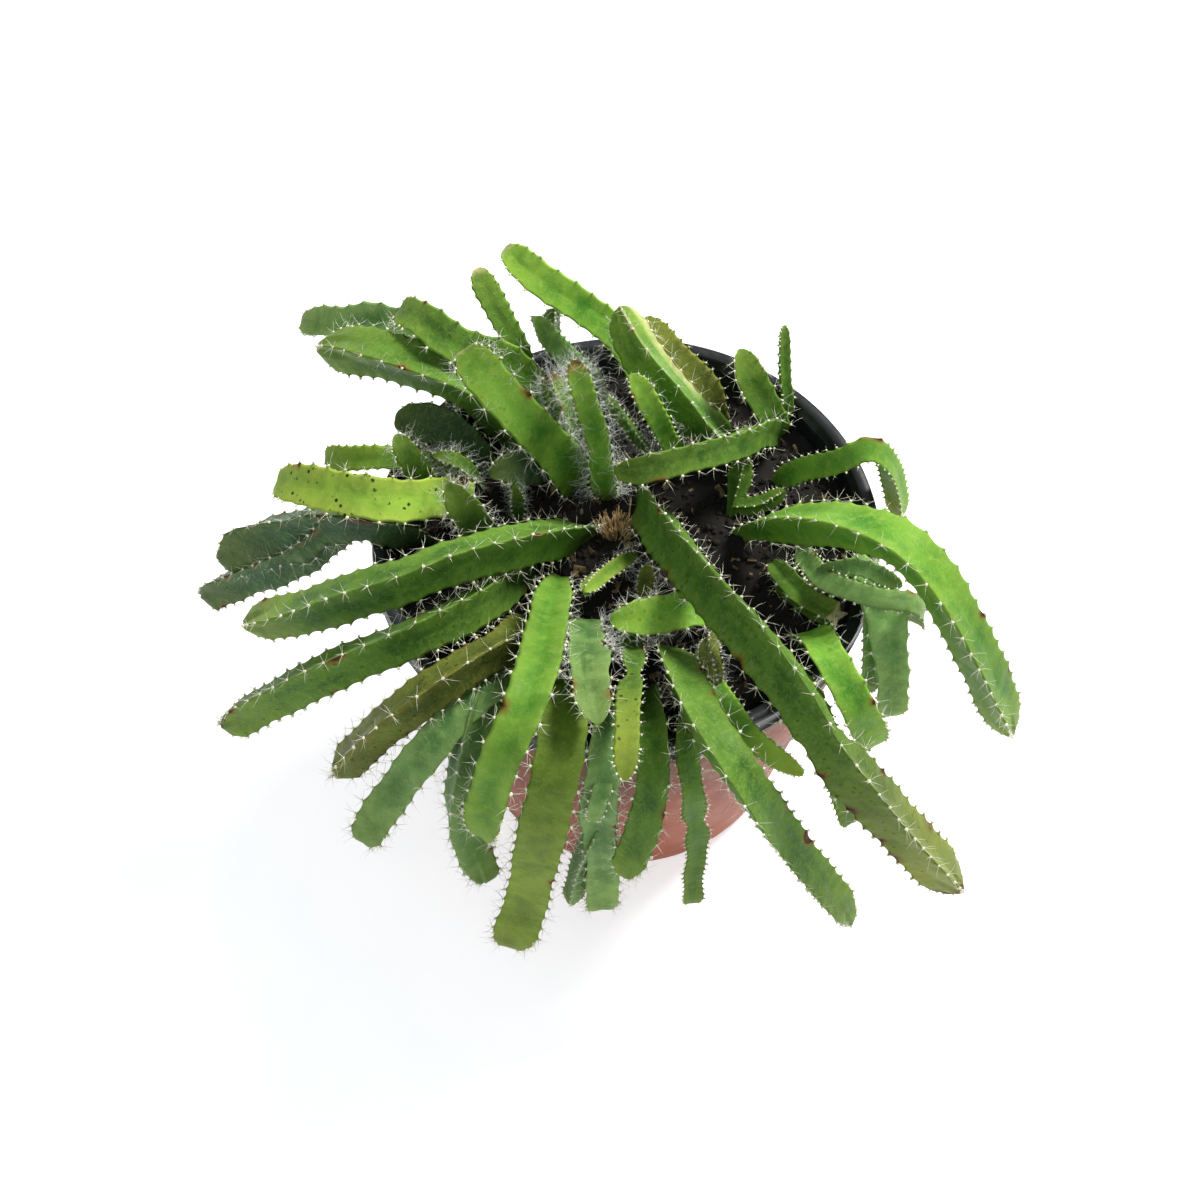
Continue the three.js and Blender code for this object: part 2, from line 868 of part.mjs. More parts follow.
// The soil fills the growing pot, and every stem stands in a plain hole in it.
function soilBody(roots) {
  const edge = growNeckRadius - edgeGap;
  const foot = growFloorRadius - edgeGap;
  const bottom = growFloorZ + fitGap;
  const radii = [...soilRings, edge];
  const points = [new THREE.Vector3(0, 0, soilHeight(0, 0))];
  const triangles = [];
  const at = (r, k) => 1 + r * soilSectors + (k % soilSectors);
  radii.forEach((radius) => {
    for (let k = 0; k < soilSectors; k += 1) {
      const angle = (k * 2 * Math.PI) / soilSectors;
      const x = Math.cos(angle) * radius;
      const y = Math.sin(angle) * radius;
      points.push(new THREE.Vector3(x, y, radius === edge ? soilZ : soilHeight(x, y)));
    }
  });
  for (let k = 0; k < soilSectors; k += 1) {
    const angle = (k * 2 * Math.PI) / soilSectors;
    points.push(new THREE.Vector3(Math.cos(angle) * foot, Math.sin(angle) * foot, bottom));
  }
  points.push(new THREE.Vector3(0, 0, bottom));
  const last = points.length - 1;
  for (let k = 0; k < soilSectors; k += 1) {
    triangles.push([0, at(0, k), at(0, k + 1)]);
    for (let r = 0; r < radii.length; r += 1) {
      triangles.push([at(r, k), at(r + 1, k), at(r + 1, k + 1)]);
      triangles.push([at(r, k), at(r + 1, k + 1), at(r, k + 1)]);
    }
    triangles.push([last, at(radii.length, k + 1), at(radii.length, k)]);
  }
  let solid = toManifold(geometryFrom(points, triangles));
  const low = soilZ - rootDepth - fitGap;
  const high = soilZ + holeRise;
  for (const root of roots) {
    const hole = new THREE.CylinderGeometry(root.radius, root.radius, high - low, holeSides);
    standUp(hole).translate(root.x, root.y, (low + high) / 2);
    solid = solid.subtract(toManifold(hole));
  }
  return toGeometry(solid);
}

// The stump is a flattened stalk whose top edge stands up in splinters round a hollow.
function stumpBody() {
  const { x, y, radius, height, long, short, splinters } = stump;
  const points = [new THREE.Vector3(x, y, soilZ - rootDepth)];
  const triangles = [];
  const levels = [soilZ - rootDepth, soilZ + 1, soilZ + height];
  levels.forEach((z, level) => {
    for (let k = 0; k < splinters; k += 1) {
      const angle = (k * 2 * Math.PI) / splinters;
      const flare = [0.62, 0.8, k % 2 ? 1.25 : 0.9][level];
      const lift = level === 2 ? draw(-3, 1.5) : 0;
      points.push(new THREE.Vector3(
        x + Math.cos(angle) * radius * flare * long,
        y + Math.sin(angle) * radius * flare * short,
        z + lift,
      ));
    }
  });
  points.push(new THREE.Vector3(x, y, soilZ + height * 0.35));
  const at = (level, k) => 1 + level * splinters + (k % splinters);
  for (let k = 0; k < splinters; k += 1) {
    triangles.push([0, at(0, k + 1), at(0, k)]);
    for (let level = 0; level < 2; level += 1) {
      triangles.push([at(level, k), at(level, k + 1), at(level + 1, k + 1)]);
      triangles.push([at(level, k), at(level + 1, k + 1), at(level + 1, k)]);
    }
    triangles.push([at(2, k), at(2, k + 1), points.length - 1]);
  }
  return toGeometry(toManifold(geometryFrom(points, triangles)));
}

const plant = new THREE.Group();

function place(name, geometry, color, roughness) {
  const material = new THREE.MeshStandardMaterial({ color, roughness, metalness: 0 });
  const mesh = new THREE.Mesh(geometry, material);
  mesh.name = name;
  plant.add(mesh);
}

const measuredStems = stems.map((stem) => ({
  ...stem,
  shoots: stem.shoots.map((shoot, i) => measureShoot({ ...shoot, branch: i > 0 })),
}));
for (const stem of measuredStems) {
  stem.shoots.forEach((shoot) => balls.push(...clearanceBalls(shoot, stem.name)));
}
balls.push({ owner: 'stem_stump', centre: new THREE.Vector3(stump.x, stump.y, soilZ + 4), radius: 6 });

const roots = measuredStems.map((stem) => {
  const { path, width, ribs } = stem.shoots[0].shoot;
  const radius = width * ribReach[ribs] * neckShare * rootShare + rootRoom;
  return { x: path[0][0], y: path[0][1], radius };
});
roots.push({ x: stump.x, y: stump.y, radius: stump.radius * stump.long });

place('cover_pot', coverPot(), potColor, 0.55);
place('growing_pot', growingPot(), rimColor, 0.5);
place('soil', soilBody(roots), soilColor, 0.95);
place('stem_stump', stumpBody(), stumpColor, 0.9);
for (const stem of measuredStems) {
  let body = stem.shoots.map(buildShoot).reduce((a, b) => a.add(b));
  for (const shoot of stem.shoots) {
    for (const needle of spinesOf(shoot, stem.name)) body = body.add(toManifold(needle));
  }
  place(stem.name, toGeometry(body), tones[stem.tone], 0.6);
}

export default plant;
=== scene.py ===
# A young dragon fruit cactus in its pot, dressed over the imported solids
import math
import bpy
import numpy as np
from mathutils import Matrix, Vector, noise


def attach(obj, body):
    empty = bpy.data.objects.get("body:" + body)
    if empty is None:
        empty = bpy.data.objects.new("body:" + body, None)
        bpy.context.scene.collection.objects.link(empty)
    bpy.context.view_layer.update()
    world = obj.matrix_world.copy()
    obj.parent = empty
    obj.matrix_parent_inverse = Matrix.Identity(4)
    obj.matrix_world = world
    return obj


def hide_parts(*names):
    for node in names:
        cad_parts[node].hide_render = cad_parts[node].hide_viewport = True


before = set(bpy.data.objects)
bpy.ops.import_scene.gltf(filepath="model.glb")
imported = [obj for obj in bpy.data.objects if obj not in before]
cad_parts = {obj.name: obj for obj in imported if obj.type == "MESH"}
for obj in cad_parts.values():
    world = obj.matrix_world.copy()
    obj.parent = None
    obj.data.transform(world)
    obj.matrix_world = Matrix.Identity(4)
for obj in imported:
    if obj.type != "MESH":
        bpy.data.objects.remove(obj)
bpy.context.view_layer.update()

mm = 0.001
print("solids loaded:", len(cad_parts))

# Camera, light and table
cameraSetup = {
    "lens": 42.0, "sensor": 36.0,
    "elevation": 56.98, "roll": 2.30,  # degrees
    "distance": 419.6, "right": -8.42, "up": -22.72, "aimHeight": 130.0,  # mm
}
lightSetup = {
    "sky": 0.32,
    "key": {"at": (0.6, 0.42, 1.0), "size": 0.4, "power": 18.5, "color": (1.0, 0.98, 0.94)},
    "fill": {"at": (-0.3, -0.5, 1.0), "size": 1.0, "power": 3.0, "color": (0.94, 0.97, 1.0)},
    "target": (0, 0, 0.1), "skyColor": (0.96, 0.98, 1.0, 1),
    "tableGlow": 0.56, "tableColor": (0.93, 0.97, 1.0, 1),
}


def addObject(name, data):
    item = bpy.data.objects.new(name, data)
    bpy.context.scene.collection.objects.link(item)
    return item


def placeCamera():
    tilt = math.radians(cameraSetup["elevation"])
    roll = math.radians(cameraSetup["roll"])
    back = Vector((0, -math.cos(tilt), math.sin(tilt)))
    right = Vector((1, 0, 0))
    up = Vector((0, math.sin(tilt), math.cos(tilt)))
    at = Vector((0, 0, cameraSetup["aimHeight"])) + back * cameraSetup["distance"]
    at = (at + right * cameraSetup["right"] + up * cameraSetup["up"]) * mm
    axisX = right * math.cos(roll) - up * math.sin(roll)
    axisY = right * math.sin(roll) + up * math.cos(roll)
    data = bpy.data.cameras.new("photoCamera")
    data.lens = cameraSetup["lens"]
    data.sensor_width = cameraSetup["sensor"]
    data.clip_start = 0.01
    camera = addObject("photoCamera", data)
    rows = [[axisX[i], axisY[i], back[i], at[i]] for i in range(3)]
    camera.matrix_world = Matrix(rows + [[0, 0, 0, 1]])
    bpy.context.scene.camera = camera


def placeLight(name, setup):
    data = bpy.data.lights.new(name, "AREA")
    data.shape = "DISK"
    data.size = setup["size"]
    data.energy = setup["power"]
    data.color = setup["color"]
    light = addObject(name, data)
    light.location = setup["at"]
    aim = Vector(lightSetup["target"]) - Vector(setup["at"])
    light.rotation_euler = aim.to_track_quat("-Z", "Y").to_euler()


def lightSky():
    world = bpy.data.worlds.new("studioSky")
    bpy.context.scene.world = world
    world.use_nodes = True
    sky = world.node_tree.nodes["Background"]
    sky.inputs["Color"].default_value = lightSetup["skyColor"]
    sky.inputs["Strength"].default_value = lightSetup["sky"]
    bpy.context.scene.view_settings.view_transform = "Standard"


def clearSelection():
    if bpy.context.object and bpy.context.object.mode != "OBJECT":
        bpy.ops.object.mode_set(mode="OBJECT")
    bpy.ops.object.select_all(action="DESELECT")


placeCamera()
placeLight("keyLight", lightSetup["key"])
placeLight("fillLight", lightSetup["fill"])
lightSky()
print("camera and lights placed")


# Materials
def colour(code):
    parts = [int(code[i:i + 2], 16) / 255 for i in (0, 2, 4)]
    return tuple(c / 12.92 if c <= 0.04045 else ((c + 0.055) / 1.055) ** 2.4 for c in parts) + (1.0,)


def feed(tree, value, socket):
    if isinstance(value, bpy.types.NodeSocket):
        tree.links.new(value, socket)
    else:
        socket.default_value = value


def newMaterial(name):
    material = bpy.data.materials.new(name)
    material.use_nodes = True
    tree = material.node_tree
    shader = tree.nodes["Principled BSDF"]
    place = tree.nodes.new("ShaderNodeTexCoord").outputs["Object"]
    return material, tree, shader, place


def noiseOf(tree, place, scale, detail=3.0, warp=0.0):
    node = tree.nodes.new("ShaderNodeTexNoise")
    node.inputs["Scale"].default_value = scale
    node.inputs["Detail"].default_value = detail
    node.inputs["Distortion"].default_value = warp
    tree.links.new(place, node.inputs["Vector"])
    return node.outputs["Fac"]


def cellsOf(tree, place, scale):
    node = tree.nodes.new("ShaderNodeTexVoronoi")
    node.inputs["Scale"].default_value = scale
    tree.links.new(place, node.inputs["Vector"])
    return node.outputs["Distance"]


def spread(tree, value, low, high, start=0.0, end=1.0):
    node = tree.nodes.new("ShaderNodeMapRange")
    node.interpolation_type = "SMOOTHSTEP"
    feed(tree, value, node.inputs["Value"])
    for socket, number in zip(("From Min", "From Max", "To Min", "To Max"), (low, high, start, end)):
        node.inputs[socket].default_value = number
    return node.outputs["Result"]


def sums(tree, operation, first, second):
    node = tree.nodes.new("ShaderNodeMath")
    node.operation = operation
    feed(tree, first, node.inputs[0])
    feed(tree, second, node.inputs[1])
    return node.outputs["Value"]


def blendOf(tree, factor, first, second, mode="MIX"):
    node = tree.nodes.new("ShaderNodeMix")
    node.data_type = "RGBA"
    node.blend_type = mode
    feed(tree, factor, node.inputs[0])
    feed(tree, first, node.inputs[6])
    feed(tree, second, node.inputs[7])
    return node.outputs[2]


def masksOf(tree, layer):
    attribute = tree.nodes.new("ShaderNodeAttribute")
    attribute.attribute_name = layer
    split = tree.nodes.new("ShaderNodeSeparateColor")
    tree.links.new(attribute.outputs["Color"], split.inputs["Color"])
    return split.outputs["Red"], split.outputs["Green"], split.outputs["Blue"]


def veinsOf(tree):
    # Thin pale lines that run across a face from its margins, along the "flow" of the stem
    attribute = tree.nodes.new("ShaderNodeAttribute")
    attribute.attribute_name = "flow"
    stretch = tree.nodes.new("ShaderNodeVectorMath")
    stretch.operation = "MULTIPLY"
    tree.links.new(attribute.outputs["Vector"], stretch.inputs[0])
    stretch.inputs[1].default_value = skinPattern["veinStretch"]
    streak = noiseOf(tree, stretch.outputs["Vector"], 1.0, 2)
    away = sums(tree, "ABSOLUTE", sums(tree, "SUBTRACT", streak, 0.5), 0)
    return spread(tree, away, 0.0, skinPattern["veinWidth"], 1, 0)


def bumpOn(tree, shader, height, strength, distance):
    node = tree.nodes.new("ShaderNodeBump")
    node.inputs["Strength"].default_value = strength
    node.inputs["Distance"].default_value = distance
    tree.links.new(height, node.inputs["Height"])
    tree.links.new(node.outputs["Normal"], shader.inputs["Normal"])


skinTones = {  # flesh, deeper patches, thin margin
    "green": ("567c2d", "395f23", "6f8f38"),
    "bright": ("6a9a34", "457c28", "87a942"),
    "yellow": ("7ea83a", "5c842d", "98a646"),
    "grey": ("6b8f4f", "486d3a", "84a060"),
    "olive": ("63702c", "434f20", "7c7a36"),
    # The last tone is painted shade: a darker, bluer green for stems that lie in the plant's shade
    "dark": ("3f5e3b", "26442f", "586e40"),
}
markColours = {
    "yellow": "98a03f", "scar": "4a3216", "spot": "262d16",
    "dry": "bdb384", "bruise": "7d5c2c", "vein": "a9bf7c",
}


# Noise has its scale, detail and warp. A range has low and high and, if four numbers, what they become.
skinPattern = {
    "broad": (85, 3, 0.6), "middle": (330, 4, 0.3), "fine": (1500, 3), "spotCells": 420,
    "flesh": (0.32, 0.68), "mottle": (0.45, 0.75, 0, 0.5), "margin": 0.5,
    "veins": 0.16, "veinStretch": (58, 2.2, 9), "veinWidth": 0.045,
    "ripe": (0.25, 0.7, 0.55, 1), "wear": 0.5,
    "bruised": (0.62, 1.05), "bruise": 0.7, "scarred": (0.95, 1.2),
    "spots": (0.17, 0.3, 1, 0), "spotty": (0.46, 0.56), "dry": (0.38, 0.6, 0.45, 1),
    "light": (0, 1, 0.55, 1.45), "rough": (0.3, 0.7, 0.42, 0.62), "gloss": 0.06,
    "glow": 0.1, "glowRadius": (0.6, 1.0, 0.2), "glowScale": 0.0015,
    "bump": 0.35, "bumpHeight": 0.0002, "bumpMiddle": 2.0,
}


def skinMaterial(name, tone):
    pattern = skinPattern
    flesh, deep, edge = (colour(code) for code in skinTones[tone])
    mark = {key: colour(code) for key, code in markColours.items()}
    material, tree, shader, place = newMaterial(name)
    margin, scar, yellow = masksOf(tree, "marks")
    light, dry, spotty = masksOf(tree, "growthAndPaintedLight")
    veins = veinsOf(tree)
    broad, middle, fine = (noiseOf(tree, place, *pattern[key]) for key in ("broad", "middle", "fine"))

    def share(value, amount):
        return sums(tree, "MULTIPLY", value, amount)

    skin = blendOf(tree, spread(tree, broad, *pattern["flesh"]), deep, flesh)
    skin = blendOf(tree, spread(tree, middle, *pattern["mottle"]), skin, edge)
    skin = blendOf(tree, share(margin, pattern["margin"]), skin, edge)
    skin = blendOf(tree, share(veins, pattern["veins"]), skin, mark["vein"])
    ripe = share(yellow, spread(tree, broad, *pattern["ripe"]))
    skin = blendOf(tree, ripe, skin, mark["yellow"])
    worn = sums(tree, "ADD", scar, share(middle, pattern["wear"]))
    bruised = spread(tree, worn, *pattern["bruised"])
    skin = blendOf(tree, share(bruised, pattern["bruise"]), skin, mark["bruise"])
    skin = blendOf(tree, spread(tree, worn, *pattern["scarred"]), skin, mark["scar"])
    spots = spread(tree, cellsOf(tree, place, pattern["spotCells"]), *pattern["spots"])
    spots = share(spots, spread(tree, middle, *pattern["spotty"]))
    skin = blendOf(tree, share(spots, spotty), skin, mark["spot"])
    patchy = share(dry, spread(tree, middle, *pattern["dry"]))
    skin = blendOf(tree, patchy, skin, mark["dry"])
    # Value follows the light mask: each stem's brightness, partly painted light and shade
    tint = tree.nodes.new("ShaderNodeHueSaturation")
    tree.links.new(spread(tree, light, *pattern["light"]), tint.inputs["Value"])
    tree.links.new(skin, tint.inputs["Color"])
    tree.links.new(tint.outputs["Color"], shader.inputs["Base Color"])
    tree.links.new(spread(tree, middle, *pattern["rough"]), shader.inputs["Roughness"])
    shader.inputs["Specular IOR Level"].default_value = pattern["gloss"]
    shader.inputs["Subsurface Weight"].default_value = pattern["glow"]
    shader.inputs["Subsurface Radius"].default_value = pattern["glowRadius"]
    shader.inputs["Subsurface Scale"].default_value = pattern["glowScale"]
    height = sums(tree, "ADD", fine, share(middle, pattern["bumpMiddle"]))
    bumpOn(tree, shader, height, pattern["bump"], pattern["bumpHeight"])
    return material


def plainMaterial(name, first, second, scale, roughness, bump):
    material, tree, shader, place = newMaterial(name)
    grain = noiseOf(tree, place, scale, 5)
    base = blendOf(tree, spread(tree, grain, 0.3, 0.7), colour(first), colour(second))
    tree.links.new(base, shader.inputs["Base Color"])
    rough = spread(tree, grain, 0.2, 0.8, roughness - 0.08, roughness + 0.08)
    tree.links.new(rough, shader.inputs["Roughness"])
    bumpOn(tree, shader, grain, bump, 0.0003)
    return material


def potMaterial(name, setup):
    material, tree, shader, place = newMaterial(name)
    cloud = noiseOf(tree, place, 24, 4, 0.4)
    grain = noiseOf(tree, place, 900, 3)
    dust = noiseOf(tree, place, 130, 6, 0.5)
    base = blendOf(tree, spread(tree, cloud, 0.3, 0.7), colour(setup["deep"]), colour(setup["body"]))
    base = blendOf(tree, spread(tree, dust, 0.52, 0.8, 0, setup["dusty"]), base, colour(setup["dust"]))
    tree.links.new(base, shader.inputs["Base Color"])
    rough = spread(tree, dust, 0.3, 0.8, setup["rough"] - 0.07, setup["rough"] + 0.12)
    tree.links.new(rough, shader.inputs["Roughness"])
    shader.inputs["Specular IOR Level"].default_value = setup["gloss"]
    bumpOn(tree, shader, grain, 0.12, 0.0002)
    return material


skins = {tone: skinMaterial(tone + "Skin", tone) for tone in skinTones}
spineMaterial = plainMaterial("spineIvory", "e9e6c8", "fbfaf0", 600, 0.45, 0.05)
woolMaterial = plainMaterial("areoleWool", "d9d6b4", "f6f5e6", 1500, 0.9, 0.5)
hairMaterial = plainMaterial("whiteHair", "dfe3dc", "fafbf8", 500, 0.55, 0.05)
soilMaterial = plainMaterial("pottingSoil", "050403", "140f0b", 420, 0.95, 1.0)
crumbMaterial = plainMaterial("soilCrumbs", "080605", "231a12", 260, 0.95, 1.0)
barkMaterial = plainMaterial("barkChips", "33291d", "8c7651", 330, 0.9, 0.8)
fibreMaterial = plainMaterial("dryFibres", "8f6d40", "dcc18d", 420, 0.85, 0.5)
tableMaterial = plainMaterial("whiteTable", "fbfcfd", "ffffff", 40, 0.7, 0.0)
print("materials mixed")


# Mesh building: a shell is a dictionary of points in mm, faces, a material number and its masks
maskLayers = ("marks", "growthAndPaintedLight", "flow")


def addShell(shells, points, faces, material, masks=None, rounded=True):
    points = np.asarray(points, float)
    shell = {layer: np.zeros((len(points), 3)) for layer in maskLayers}
    shell.update(masks or {})
    shell.update({"points": points, "faces": [np.asarray(f) for f in faces]})
    shell.update({"material": material, "rounded": rounded})
    shells.append(shell)


def placePiece(piece, node):
    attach(piece, "root")
    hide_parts(node)


def makePiece(name, shells, materials, node):
    faces, numbers, rounds, start = [], [], [], 0
    for shell in shells:
        for block in shell["faces"]:
            faces.extend((block + start).tolist())
            numbers.extend([shell["material"]] * len(block))
            rounds.extend([shell["rounded"]] * len(block))
        start += len(shell["points"])
    mesh = bpy.data.meshes.new(name)
    mesh.from_pydata((np.vstack([s["points"] for s in shells]) * mm).tolist(), [], faces)
    for material in materials:
        mesh.materials.append(material)
    mesh.polygons.foreach_set("material_index", numbers)
    mesh.polygons.foreach_set("use_smooth", rounds)
    for layer in maskLayers:
        values = np.vstack([s[layer] for s in shells])
        values = np.hstack([values, np.ones((len(values), 1))]).ravel()
        mesh.attributes.new(layer, "FLOAT_COLOR", "POINT").data.foreach_set("color", values)
    mesh.update()
    placePiece(addObject(name, mesh), node)


